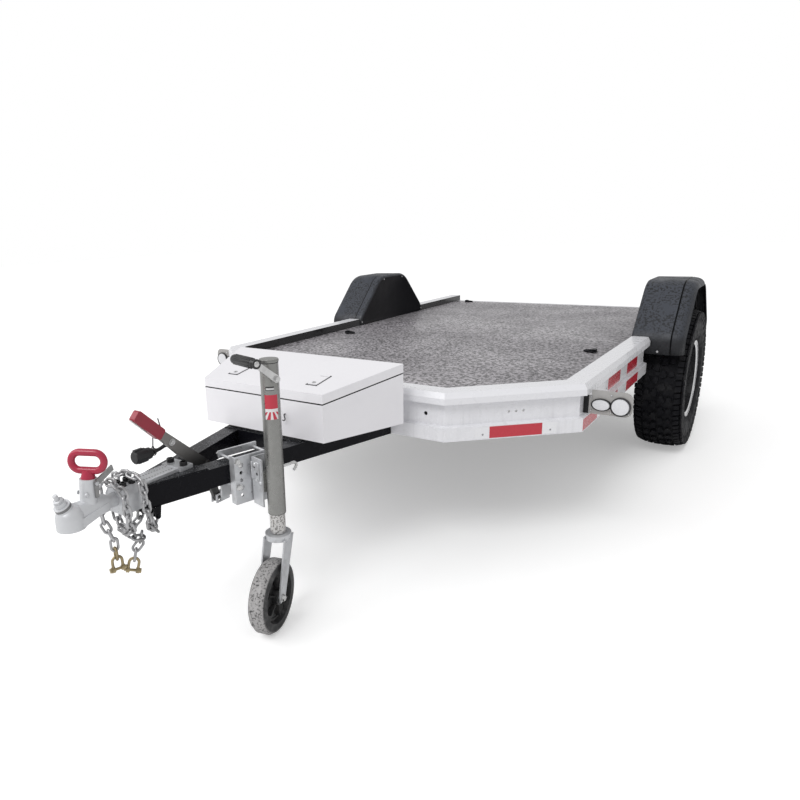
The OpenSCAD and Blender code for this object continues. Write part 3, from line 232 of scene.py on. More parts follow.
# Daylight from an overcast sky: an even white world, one broad lamp high on the camera's left
# and a weak sun that gives the shadows their direction.
world = bpy.data.worlds.new("studio")
bpy.context.scene.world = world
world.use_nodes = True
sky = world.node_tree
background = sky.nodes["Background"]
background.inputs["Color"].default_value = white
path = sky.nodes.new("ShaderNodeLightPath")
seen_direct = sky.nodes.new("ShaderNodeMath")
seen_direct.operation = "MAXIMUM"
sky.links.new(path.outputs["Is Camera Ray"], seen_direct.inputs[0])
sky.links.new(path.outputs["Is Transmission Ray"], seen_direct.inputs[1])
level = sky.nodes.new("ShaderNodeMapRange")
level.inputs["To Min"].default_value = 0.62
level.inputs["To Max"].default_value = 1.0
sky.links.new(seen_direct.outputs[0], level.inputs["Value"])
sky.links.new(level.outputs["Result"], background.inputs["Strength"])

sun = bpy.data.objects.new("sun", bpy.data.lights.new("sun", "SUN"))
sun.data.energy = 1.0
sun.data.angle = math.radians(25)
sun.rotation_euler = (math.radians(38), math.radians(-14), math.radians(20))
bpy.context.scene.collection.objects.link(sun)

lamp = bpy.data.objects.new("sky_lamp", bpy.data.lights.new("sky_lamp", "AREA"))
lamp.data.energy = 160.0
lamp.data.size = 5.0
lamp.location = (-3.5, -4.5, 5.0)
lamp.rotation_euler = (Vector((0, 0, 0.4)) - lamp.location).to_track_quat("-Z", "Y").to_euler()
bpy.context.scene.collection.objects.link(lamp)


# The trailer plug hangs on its own short cable, which comes out of the far drawbar tube through
# a rubber gland and arches forward. The cable is a stiff sheathed flex.
deck_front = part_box("front_rail")[0].y


def deck(x, y, z):
    """A point in mm across, behind the front rail and above the ground, in scene metres."""
    return Vector((x / 1000, y / 1000 + deck_front, z / 1000))


def cover(finish, *nodes):
    for node in nodes:
        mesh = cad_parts[node].data
        mesh.materials.clear()
        mesh.materials.append(finish.material)


def smooth_way(points, steps):
    """More points along a line, on a smooth curve through those given."""
    way = []
    for index in range(len(points) - 1):
        before = points[max(index - 1, 0)]
        start, end = points[index], points[index + 1]
        after = points[min(index + 2, len(points) - 1)]
        for step in range(steps):
            t = step / steps
            pull = (end - before) * 0.5
            push = (after - start) * 0.5
            way.append(
                start * (2 * t**3 - 3 * t**2 + 1)
                + pull * (t**3 - 2 * t**2 + t)
                + end * (3 * t**2 - 2 * t**3)
                + push * (t**3 - t**2)
            )
    way.append(points[-1])
    return way


def round_line(name, points, radius, resolution):
    """A round bar or flex along a line of points, as a curve."""
    curve = bpy.data.curves.new(name, "CURVE")
    curve.dimensions = "3D"
    curve.bevel_depth = radius
    curve.bevel_resolution = resolution
    curve.use_fill_caps = True
    line = curve.splines.new("POLY")
    line.points.add(len(points) - 1)
    for point, place in zip(line.points, points):
        point.co = (*place, 1.0)
    return curve


cable_rubber = Finish("cable_rubber", (0.02, 0.02, 0.021), roughness=0.42, specular=0.3)
cable_rubber.grain(420.0, 0.0004)
cable_d = 0.012
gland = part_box("plug_gland")
gland_middle = (gland[0] + gland[1]) / 2
cable_end = Vector((gland_middle.x, gland_middle.y, gland[1].z + 0.0003))
cable_way = [(-36, -879.7, 633), (-36, -872, 633), (-38, -856, 635), (-43, -838, 637)]
cable_way += [(-50, -818, 636), (-57, -798, 630), (-63, -781, 619), (-68, -767, 604)]
cable_way += [(-71, -757, 592)]
cable_points = [deck(*spot) for spot in cable_way]
cable_points += [cable_end + Vector((0, 0, 0.008)), cable_end]
cable_points = smooth_way(cable_points, 2)
cable_length = sum((b - a).length for a, b in zip(cable_points, cable_points[1:]))
cable_line = round_line("plug_cable", cable_points, cable_d / 2, 4)
plug_cable = bpy.data.objects.new("plug_cable_flex", cable_line)
bpy.context.scene.collection.objects.link(plug_cable)
cable_line.materials.append(cable_rubber.material)
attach(plug_cable, "chassis")
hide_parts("plug_cable")
plug_black = Finish("plug_black", (0.018, 0.018, 0.02), roughness=0.38, specular=0.35)
plug_black.grain(600.0, 0.0003, 0.35)
cover(plug_black, "plug_gland")


def moved(bm, matrix):
    bmesh.ops.transform(bm, matrix=matrix, verts=bm.verts[:])
    return bm


def shift(bm, offset):
    return moved(bm, Matrix.Translation(offset))


def aimed(towards):
    """Turns something made along Z to face a direction."""
    return Vector((0, 0, 1)).rotation_difference(Vector(towards)).to_matrix().to_4x4()


def seat(at, towards):
    return Matrix.Translation(at) @ aimed(towards)


def stood(bm, at, towards=(0, 0, 1)):
    """Stands something made along Z on a point, facing a direction."""
    return moved(bm, seat(at, towards))


def spun(bm, geom, angle, steps, axis=(0, 0, 1), **how):
    """Sweeps part of a mesh about an axis through the origin."""
    turned = {"geom": geom, "angle": angle, "steps": steps, "axis": axis, **how}
    bmesh.ops.spin(bm, cent=(0, 0, 0), dvec=(0, 0, 0), **turned)
    return bm


def lathe(outline, axis=(0, 0, 1), steps=24):
    """A bmesh turned from (along, radius) points about one axis through the origin."""
    bm = bmesh.new()
    ring = [bm.verts.new((0.0, radius, along)) for along, radius in outline]
    edges = [bm.edges.new(pair) for pair in zip(ring, ring[1:])]
    spun(bm, ring + edges, math.tau, steps, use_merge=True)
    bmesh.ops.remove_doubles(bm, verts=bm.verts[:], dist=1e-6)
    return moved(bm, aimed(axis))


def join(target, source, matrix=None):
    if matrix:
        moved(source, matrix)
    scratch = bpy.data.meshes.new("scratch")
    source.to_mesh(scratch)
    source.free()
    target.from_mesh(scratch)
    bpy.data.meshes.remove(scratch)
    return target


def add(target, source, at, towards=(0, 0, 1)):
    return join(target, stood(source, at, towards))


def block(size, bevel, segments=1):
    bm = bmesh.new()
    bmesh.ops.create_cube(bm, size=1.0)
    bmesh.ops.scale(bm, vec=size, verts=bm.verts[:])
    bmesh.ops.bevel(
        bm, geom=bm.edges[:], offset=bevel, segments=segments, affect="EDGES", profile=0.5
    )
    return bm


plug_outline = [(0, 0), (0, 0.017), (0.003, 0.0205), (0.010, 0.0215), (0.030, 0.0225)]
plug_outline += [(0.042, 0.0228), (0.044, 0.0195), (0.060, 0.0185), (0.064, 0.0138)]
for step in range(5):
    start = 0.0655 + 0.0042 * step
    groove = 0.0105 - 0.0008 * step
    plug_outline += [(start, 0.0132 - 0.0011 * step), (start + 0.0014, groove)]
    plug_outline += [(start + 0.003, groove)]
plug_outline += [(0.0876, 0.0076), (0.0878, 0)]
plug_front = deck(-36, -968, 633)
plug_body = shift(lathe(plug_outline, (0, 1, 0), 48), plug_front)
for step in range(10):
    angle = math.tau * step / 10
    around = Vector((math.cos(angle) * 0.0218, 0.024, math.sin(angle) * 0.0218))
    turn = Matrix.Rotation(-angle, 4, "Y")
    rib = block((0.0022, 0.026, 0.0022), 0.0005)
    join(plug_body, rib, Matrix.Translation(plug_front + around) @ turn)
hinge = plug_front + Vector((0, 0.017, 0.0225))
add(plug_body, block((0.012, 0.034, 0.006), 0.0015), hinge)
plug = mesh_piece("plug_shell", plug_body, plug_black, "chassis")
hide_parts("trailer_plug")

# Nylon ties hold the cable's slack, one round the plug's neck and one round the arch. Their
# tails were never trimmed and stand up.
ties = bmesh.new()
for at, radius, lean in ((deck(-36, -895, 633), 0.0125, -12), (deck(-43, -838, 637), 0.0064, 9)):
    band = [(0.0, radius), (0.0, radius + 0.0014), (0.0046, radius + 0.0014), (0.0046, radius)]
    add(ties, lathe(band + band[:1], (0, 1, 0)), at)
    add(ties, block((0.006, 0.006, 0.005), 0.001), at + Vector((0, 0.0023, radius + 0.003)))
    tail = shift(block((0.0012, 0.0046, 0.088), 0.0004), (0, 0, 0.044))
    tilt = Matrix.Rotation(math.radians(lean), 4, "X") @ Matrix.Rotation(math.radians(-6), 4, "Y")
    join(ties, tail, Matrix.Translation(at + Vector((0, 0.0023, radius))) @ tilt)
tie_nylon = Finish("tie_nylon", (0.03, 0.03, 0.032), roughness=0.35)
tie_nylon.bump((tie_nylon.axis("Z") * 3000.0).maths("SINE"), 0.0002, 0.5)
mesh_piece("cable_ties", ties, tie_nylon, "chassis")


# The rails are folded steel, powder coated white outside and on the cap, and black on the
# inner leg beside the deck. Rain has left faint runs on the web below the nose.
front_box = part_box("front_rail")
side_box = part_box("side_rail_left")
cap_top = front_box[1].z
cap_width = side_box[1].x - side_box[0].x
half_width = side_box[1].x
corner_start = Vector((front_box[1].x, deck_front, 0))
corner_run = Vector((half_width - front_box[1].x, side_box[0].y - deck_front, 0)).normalized()
corner_normal = Vector((-corner_run.y, corner_run.x, 0))
mirror_normal = Vector((corner_run.y, corner_run.x, 0))


def white_paint(name):
    return Finish(name, (0.78, 0.78, 0.81), roughness=0.28, coat=0.3)


def rail_paint(name, inward=None, offset=0.0):
    finish = white_paint(name)
    height = finish.axis("Z")
    if inward is None:
        across = half_width - finish.axis("X").maths("ABSOLUTE")
    else:
        across = finish.dot(inward) - offset
    inner = (across > cap_width - 0.0047) * (height < cap_top - 0.0004)
    grime = finish.patches(9.0, 5.0, 0.52, 0.80, 0.16)
    runs = finish.noise(1.0, 4.0, finish.place(scale=(60, 60, 3)))
    low = finish.ramp(cap_top - height, (0.03, 0.0), (0.12, 1.0))
    film = (finish.ramp(runs, (0.5, 0.0), (0.75, 0.22)) + grime) * low
    painted = finish.blend(film, finish.color, (0.42, 0.42, 0.43))
    finish.tint(inner, (0.005, 0.005, 0.006), painted)
    finish.wear(26.0, 0.22, 0.36)
    finish.grain(900.0, 0.0002, 0.5, 2.0)
    return finish


side_paint = rail_paint("rail_paint_side")
cover(side_paint, "side_rail_left", "side_rail_right", "rear_rail_left", "rear_rail_right")
cover(rail_paint("rail_paint_front", (0, 1, 0), deck_front), "front_rail")
offset = corner_normal.dot(corner_start)
cover(rail_paint("rail_paint_corner_left", corner_normal, offset), "corner_rail_left")
cover(rail_paint("rail_paint_corner_right", mirror_normal, offset), "corner_rail_right")
beam_paint = white_paint("beam_paint")
beam_paint.stain((0.45, 0.45, 0.46), 0.2, 7.0, 5.0)
beam_paint.grain(900.0, 0.0002, 0.5, 2.0)
cover(beam_paint, "rear_beam")


# Reflective tape in red and white blocks is stuck along the bottom lips, and on the webs ahead
# of the wheels. It is thin prismatic film with a fine honeycomb in it, held by a few rivets.
def mirrored(bm):
    """Adds the same shape on the trailer's other side."""
    other = bm.copy()
    bmesh.ops.scale(other, vec=(-1, 1, 1), verts=other.verts[:])
    return join(bm, other)


def rail_spot(rail, run, inward, height):
    """A point on the left side's rails, by its run along one, its way in from the cap in mm."""
    if rail == "corner":
        spot = corner_start + corner_run * (run / 1000) + corner_normal * (inward / 1000)
    else:
        spot = Vector((half_width - inward / 1000, deck_front + run / 1000, 0))
    spot.z = height / 1000
    return spot


lip, web = (9.0, 502, 548), (27.0, 563, 633)
red_runs = [("corner", 181, 391, lip), ("side", 392, 600, lip), ("side", 760, 939, lip)]
red_runs += [("side", 1110, 1358, lip), ("side", 833, 1057, web), ("side", 1192, 1413, web)]
white_runs = [("corner", 122, 180, lip), ("corner", 392, 450, lip), ("side", 601, 759, lip)]
white_runs += [("side", 940, 1109, lip), ("side", 1359, 1548, lip), ("side", 640, 832, web)]
white_runs += [("side", 1058, 1191, web), ("side", 1414, 1548, web)]
rivet = [(0, 0), (0, 0.004), (0.0016, 0.0028), (0.0022, 0)]
rivets = bmesh.new()
for name, color, slot, runs in (
    ("tape_red", (0.46, 0.012, 0.03), "lens_red", red_runs),
    ("tape_white", (0.74, 0.74, 0.77), "white_paint", white_runs),
):
    tape = Finish(name, color, roughness=0.24, coat=0.4)
    honey = tape.ramp(tape.cells(260.0), (0.0, 0.0), (0.55, 1.0))
    tape.tint(honey * 0.25, tuple(min(1.0, 1.5 * c + 0.02) for c in color))
    tape.bump(honey, 0.0002, 0.5)
    strips = bmesh.new()
    for rail, first, last, (inward, low, high) in runs:
        run = corner_run if rail == "corner" else Vector((0, 1, 0))
        turn = Matrix.Rotation(math.atan2(run.y, run.x), 4, "Z")
        strip = block(((last - first) / 1000, 0.0005, (high - low) / 1000), 0.0002)
        middle = rail_spot(rail, (first + last) / 2, inward - 0.35, (low + high) / 2)
        join(strips, strip, Matrix.Translation(middle) @ turn)
        if runs is white_runs:
            spot = rail_spot(rail, last - 26, inward - 0.6, low + 16)
            add(rivets, lathe(rivet, steps=12), spot, (run.y, -run.x, 0))
    mesh_piece(name, mirrored(strips), tape, "chassis")
rivet_zinc = Finish("rivet_zinc", (0.34, 0.34, 0.35), roughness=0.4, metallic=0.7)
rivet_zinc.grain(500.0, 0.0002)
mesh_piece("tape_rivets", mirrored(rivets), rivet_zinc, "chassis")


# Deck: wet steel chequer plate, painted dark grey. Its raised lugs lie in alternate directions,
# and the film of rain between them throws back a broken picture of the sky, which is a painted
# reflection: pale speckles mixed into the colour.
deck_plate = Finish("deck_plate", (0.115, 0.110, 0.115), roughness=0.4)
lug_pitch = 0.026
turned = deck_plate.place(turn=(0, 0, math.radians(45)))
across = deck_plate.axis("X", turned) * (1 / lug_pitch)
along = deck_plate.axis("Y", turned) * (1 / lug_pitch)
odd = (across.maths("FLOOR") + along.maths("FLOOR")).maths("FLOORED_MODULO", 2.0)
cell_x = across.maths("FRACT") - 0.5
cell_y = along.maths("FRACT") - 0.5


def lug(long_way, short_way):
    reach = (long_way * 2.3) * (long_way * 2.3) + (short_way * 6.5) * (short_way * 6.5)
    return deck_plate.ramp(1 - reach, (0.0, 0.0), (0.35, 1.0))


lugs = lug(cell_x, cell_y) * odd + lug(cell_y, cell_x) * (1 - odd)
drops = deck_plate.ramp(deck_plate.cells(130.0), (0.10, 1.0), (0.34, 0.0))
patches = deck_plate.patches(1.7, 6.0, 0.36, 0.62)
speck = deck_plate.patches(70.0, 4.0, 0.46, 0.54)
# Painted reflection of the sky: drops and specks are lightened towards pale grey.
sky_glints = (drops * 0.4 + speck * 0.8) * (patches * 0.35 + 0.6)
bright = deck_plate.blend(sky_glints, (0.070, 0.066, 0.071), (0.56, 0.53, 0.565))
deck_plate.tint(lugs * 0.30, (0.36, 0.35, 0.365), bright)
deck_plate.put("Roughness", deck_plate.ramp(patches, (0.0, 0.46), (1.0, 0.26)))
deck_plate.bump(lugs + drops * 0.25 + deck_plate.noise(500.0) * 0.12, 0.0016, 0.9)
cover(deck_plate, "deck_plate")


# Chassis and drawbar: square tube and folded channel in gloss black, beaded with rain on top. The
# beads' glints and a sheen on the upward faces are painted highlights, mixed with real dust. The
# nose plates, seats and brackets are welded on and painted over with the rest.
def wet_black(name, glint_level=1.0, roughness=0.2):
    finish = Finish(name, (0.005, 0.005, 0.007), roughness=roughness, specular=0.10)
    top = finish.ramp(finish.facing("Z"), (0.55, 0.0), (0.85, 1.0))
    drop = finish.ramp(finish.cells(170.0), (0.12, 1.0), (0.34, 0.0))
    spots = drop * finish.patches(60.0, 3.0, 0.38, 0.52)
    dust = finish.patches(14.0, 6.0, 0.52, 0.80, 0.06)
    # Painted highlights: the rain beads' glints and a faint sheen on upward faces, with real dust
    # on top.
    glints_sheen_and_dust = spots * top * (0.60 * glint_level) + dust * top + top * (0.05 * glint_level)
    finish.tint(glints_sheen_and_dust, (0.34, 0.35, 0.37))
    finish.wear(20.0, roughness - 0.04, roughness + 0.12)
    finish.bump(spots * top + finish.noise(700.0, 2.0) * 0.15, 0.0008, 0.8)
    return finish


frame_black = wet_black("frame_black")
cover(frame_black, "drawbar_left", "drawbar_right", "drawbar_cross_member", "nose_plates")
under_black = wet_black("under_black", glint_level=0.0, roughness=0.36)
cover(under_black, "cross_members", "chassis_rails", "axle_beam", "brake_rod_guides", "stub_axles")
ring_black = wet_black("ring_black", glint_level=0.4, roughness=0.34)
cover(ring_black, "tie_down_brackets", "ring_front_left", "ring_front_right")
cover(ring_black, "ring_rear_left", "ring_rear_right")
welds = bmesh.new()


def weld(first, last, radius=0.003):
    """A weld bead: a row of overlapping flattened drops between two points in mm."""
    first, last = deck(*first), deck(*last)
    drop = [(-radius, 0), (-radius * 0.5, radius * 0.85), (radius * 0.5, radius * 0.85)]
    drop += [(radius, 0)]
    count = max(2, int((last - first).length / 0.0045))
    for step in range(count + 1):
        add(welds, lathe(drop, last - first, 8), first.lerp(last, step / count))


for height in (562, 496):
    weld((39, -998, height), (94, -788, height))
weld((40, -997, 505), (40, -997, 556))
weld((190, -417, 561.5), (135, -417, 561.5))
for run in (1260, 3060):
    for edge in (734, 756):
        weld((edge, run - 13, 647.5), (edge, run + 13, 647.5), 0.0026)
for run in (1803, 1913):
    weld((627, run, 496), (688, run, 496))
for run in (200, 600, 1000, 1400):
    weld((620, run - 1, 561.5), (685, run - 1, 561.5))
mesh_piece("weld_beads", mirrored(welds), frame_black, "chassis")


# Tyres: chunky mud pattern rubber on a rounded carcass. Each is one bmesh, a lathe-turned
# carcass with one pitch of blocks spun round it and a row of lugs down each shoulder.
tyre_rubber = Finish("tyre_rubber", (0.006, 0.006, 0.008), roughness=0.62, specular=0.14)
tyre_rubber.stain((0.055, 0.054, 0.055), 0.34, 16.0, 6.0, 0.48, 0.78)
tyre_rubber.wear(35.0, 0.46, 0.76)
tyre_rubber.grain(420.0, 0.0006, 0.7, 4.0)
tyre_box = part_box("tyre_left")
tyre_radius = (tyre_box[1].z - tyre_box[0].z) / 2
tyre_half = (tyre_box[1].x - tyre_box[0].x) / 2
tread_depth = 0.013
tread_taper = 0.9
pitches = 36
lug_top = 0.376
crown_drop, crown_half = 0.013, 0.1


def tread_height(across):
    """The tread's radius, nearly flat in the middle and falling away to the shoulders."""
    return tyre_radius - crown_drop * (abs(across) / crown_half) ** 3


def tread_block(bm, outline, side, start):
    """One rubber block: an outline of (across, along) points raised from the carcass."""
    foot = []
    for across, along in outline:
        angle = (along + start) / tyre_radius
        radius = tread_height(across) - tread_depth
        spot = (side * across, math.sin(angle) * radius, math.cos(angle) * radius)
        foot.append(bm.verts.new(spot))
    raised = bmesh.ops.extrude_face_region(bm, geom=[bm.faces.new(foot)])["geom"]
    top = [v for v in raised if isinstance(v, bmesh.types.BMVert)]
    middle = sum((v.co for v in top), Vector()) / len(top)
    for vert in top:
        vert.co = middle + (vert.co - middle) * tread_taper
        grow = tread_height(vert.co.x) / math.hypot(vert.co.y, vert.co.z)
        vert.co.y *= grow
        vert.co.z *= grow


def tread():
    """The blocks and shoulder lugs of one pitch, spun round the tyre."""
    bm = bmesh.new()
    pitch = math.tau * tyre_radius / pitches
    centre = [(0.004, 0.002), (0.030, 0.007), (0.036, 0.024), (0.027, 0.030), (0.028, 0.044)]
    centre += [(0.012, 0.049), (0.004, 0.040)]
    middle = [(0.043, 0.010), (0.066, 0.016), (0.068, 0.034), (0.055, 0.045), (0.042, 0.036)]
    long_block = [(0.074, 0.002), (0.106, 0.003), (0.107, 0.035), (0.078, 0.032)]
    short_block = [(0.080, 0.037), (0.106, 0.039), (0.106, 0.065), (0.076, 0.061)]
    for side, start in ((1, 0.0), (-1, pitch / 2)):
        for outline in (centre, middle, long_block, short_block):
            tread_block(bm, outline, side, start)
        for low, lean, along, width in ((0.300, 7, 0.003, 0.032), (0.322, 13, 0.039, 0.026)):
            place = Matrix.Translation((side * (tyre_half - 0.0118), 0, (low + lug_top) / 2))
            tilt = Matrix.Rotation(side * math.radians(lean), 4, "Y")
            spin = Matrix.Rotation(-(along + width / 2 + start) / tyre_radius, 4, "X")
            join(bm, block((0.012, width, lug_top - low), 0.003), spin @ place @ tilt)
    geom = bm.verts[:] + bm.edges[:] + bm.faces[:]
    copies = pitches - 1
    return spun(bm, geom, math.tau * copies / pitches, copies, (1, 0, 0), use_duplicate=True)


carcass = [(-0.088, 0.2035), (-0.088, 0.222), (-0.104, 0.238), (-0.1135, 0.262)]
carcass += [(-0.1145, 0.290), (-0.1125, 0.322), (-0.108, 0.350), (-0.100, 0.3665)]
carcass += [(-0.088, 0.3745), (-0.060, 0.3795), (0.0, 0.3818)]
carcass += [(-x, r) for x, r in reversed(carcass[:-1])]
inside = [(0.086, 0.215), (0.095, 0.250), (0.098, 0.300), (0.090, 0.345)]
carcass += inside + [(0.0, 0.362)] + [(-x, r) for x, r in reversed(inside)] + carcass[:1]
for side in ("left", "right"):
    tyre_bm = lathe(carcass, (1, 0, 0), 96)
    for radius, out in ((0.247, 0.106), (0.262, 0.1122), (0.281, 0.1128)):
        rib = [(0.0, radius - 0.0018), (0.0022, radius), (0.0, radius + 0.0018)]
        add(tyre_bm, lathe(rib, (1, 0, 0), 96), (out, 0, 0))
    join(tyre_bm, tread())
    if side == "right":
        moved(tyre_bm, Matrix.Rotation(math.pi, 4, "Z"))
    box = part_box("tyre_" + side)
    shift(tyre_bm, (box[0] + box[1]) / 2)
    tyre = mesh_piece("mud_tyre_" + side, tyre_bm, tyre_rubber, "wheel_" + side, 28)
    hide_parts("tyre_" + side)


# Wheels: cast spokes machined bright on the face, with black painted pockets and barrel, a
# domed centre cap, six chromed nuts and a rubber valve.
def hex_head(across, height, washer=0.0):
    """A hexagon head or nut that stands on Z = 0, on a washer of a given radius."""
    corner = across / 2 / math.cos(math.pi / 6)
    thick = 0.0016 if washer else 0
    outline = [(0, 0), (0, corner), (height * 0.85, corner), (height, corner * 0.86), (height, 0)]
    bm = shift(lathe(outline, steps=6), (0, 0, thick))
    if washer:
        join(bm, lathe([(0, 0), (0, washer), (thick, washer), (thick, 0)], steps=16))
    return bm


hub_centre = (tyre_box[0] + tyre_box[1]) / 2
nut_ring = 0.057
chrome = Finish("wheel_chrome", (0.70, 0.70, 0.72), roughness=0.14, metallic=1.0)
chrome.stain((0.30, 0.28, 0.26), 0.5, 60.0)
chrome.grain(400.0, 0.0001, 0.3)
hub_steel = Finish("hub_steel", (0.30, 0.30, 0.31), roughness=0.4, metallic=0.9)
hub_steel.stain((0.16, 0.12, 0.09), 0.6, 24.0, 5.0, 0.45, 0.7)
hub_steel.grain(300.0, 0.0004, 0.5)
cover(hub_steel, "hub_left", "hub_right")
cap = [(0, 0), (0, 0.0355), (0.004, 0.036), (0.010, 0.031), (0.014, 0.018), (0.0155, 0)]
valve = [(0, 0), (0, 0.0058), (0.008, 0.0048), (0.026, 0.0040), (0.027, 0.0048)]
valve += [(0.038, 0.0048), (0.039, 0)]
for side, sign in (("left", 1), ("right", -1)):
    rim_cast = Finish("rim_cast_" + side, (0.02, 0.02, 0.022))
    outward = rim_cast.axis("X") * sign
    radius = rim_cast.distance(hub_centre, (1, 0, 0))
    machined = (rim_cast.facing("X") * sign > 0.7) * (outward > 0.99)
    shiny = machined.maths("MAXIMUM", (radius > 0.2) * (outward > 1.05))
    rim_cast.tint(shiny, (0.72, 0.72, 0.73))
    rim_cast.put("Metallic", shiny * 0.8)
    rim_cast.wear(30.0, 0.2, 0.34)
    rim_cast.bump((radius * 900.0).maths("SINE"), 0.00005, 0.4)
    cover(rim_cast, "rim_" + side)
    out = Vector((sign, 0, 0))
    face = Vector((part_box("hub_" + side)[sign > 0].x, hub_centre.y, hub_centre.z))
    nuts = stood(lathe(cap, steps=36), face, out)
    for step in range(6):
        turn = math.radians(30 + 60 * step)
        spot = Vector((-sign * 0.020, math.sin(turn) * nut_ring, math.cos(turn) * nut_ring))
        nut = hex_head(0.021, 0.016, 0.0145)
        join(nut, lathe([(0.016, 0.0085), (0.022, 0.0065), (0.024, 0)], steps=16))
        add(nuts, nut, face + spot, out)
    mesh_piece("wheel_nuts_" + side, nuts, chrome, "wheel_" + side)
    foot = Vector((sign * 1.056, hub_centre.y, hub_centre.z + 0.196))
    stem = stood(lathe(valve), foot, (0.35 * sign, 0, -1))
    mesh_piece("tyre_valve_" + side, stem, tyre_rubber, "wheel_" + side)


# Mudguards: moulded plastic with a leathery grain and beads of rain, one groove along the top
# and a rolled outer lip. The upward faces carry a painted bluish sheen of the sky, broken by the
# beads, and the groove a painted dark line of shade. The flat inner panel is dished and screwed
# on at its corners.
guard_grain = Finish("guard_grain", (0.013, 0.014, 0.017), roughness=0.42, specular=0.4)
guard_spots = guard_grain.patches(88.0, 2.0, 0.50, 0.56)
guard_spots = guard_spots * guard_grain.patches(9.0, 3.0, 0.32, 0.46)
# Painted light: a bluish sky sheen on the upward faces, and a dark line of painted shade in each
# groove.
guard_top = guard_grain.ramp(guard_grain.facing("Z"), (0.15, 0.0), (0.75, 1.0))
guard_painted_light = guard_grain.tint(guard_top * 0.8, (0.050, 0.056, 0.072))
for line in (1.036, -0.897):
    groove_shade = (guard_grain.axis("X") - line).maths("ABSOLUTE") < 0.0036
    guard_painted_light = guard_grain.tint(groove_shade, (0.004, 0.004, 0.005), guard_painted_light)
guard_grain.tint(guard_spots * guard_top * 0.9, (0.006, 0.007, 0.009), guard_painted_light)
guard_grain.wear(18.0, 0.34, 0.54, 4.0)
guard_grain.bump(guard_spots + guard_grain.noise(1400.0, 2.0) * 0.5, 0.0007, 0.8)
panel_black = Finish("guard_panel", (0.006, 0.006, 0.008), roughness=0.4, specular=0.14)
panel_black.stain((0.03, 0.03, 0.034), 0.3, 10.0, 5.0)
panel_black.grain(900.0, 0.0002, 0.5, 2.0)


def dome_head(radius, height):
    """The round head of a rivet, screw or carriage bolt."""
    outline = [(0, 0), (0, radius), (height * 0.55, radius * 0.85), (height, radius * 0.4)]
    return lathe(outline + [(height, 0)], steps=16)


def rounded_line(points, radii, steps):
    """The points of an open line with its corners rounded."""
    line = [points[0]]
    for before, corner, after, radius in zip(points, points[1:], points[2:], radii):
        a = (before - corner).normalized()
        b = (after - corner).normalized()
        half = a.angle(b) / 2
        centre = corner + (a + b).normalized() * radius / math.sin(half)
        start = corner + a * radius / math.tan(half) - centre
        turn = math.pi - 2 * half
        way = 1 if (a.x * b.y - a.y * b.x) < 0 else -1
        for step in range(steps + 1):
            line.append(centre + Matrix.Rotation(way * turn * step / steps, 2) @ start)
    line.append(points[-1])
    return line


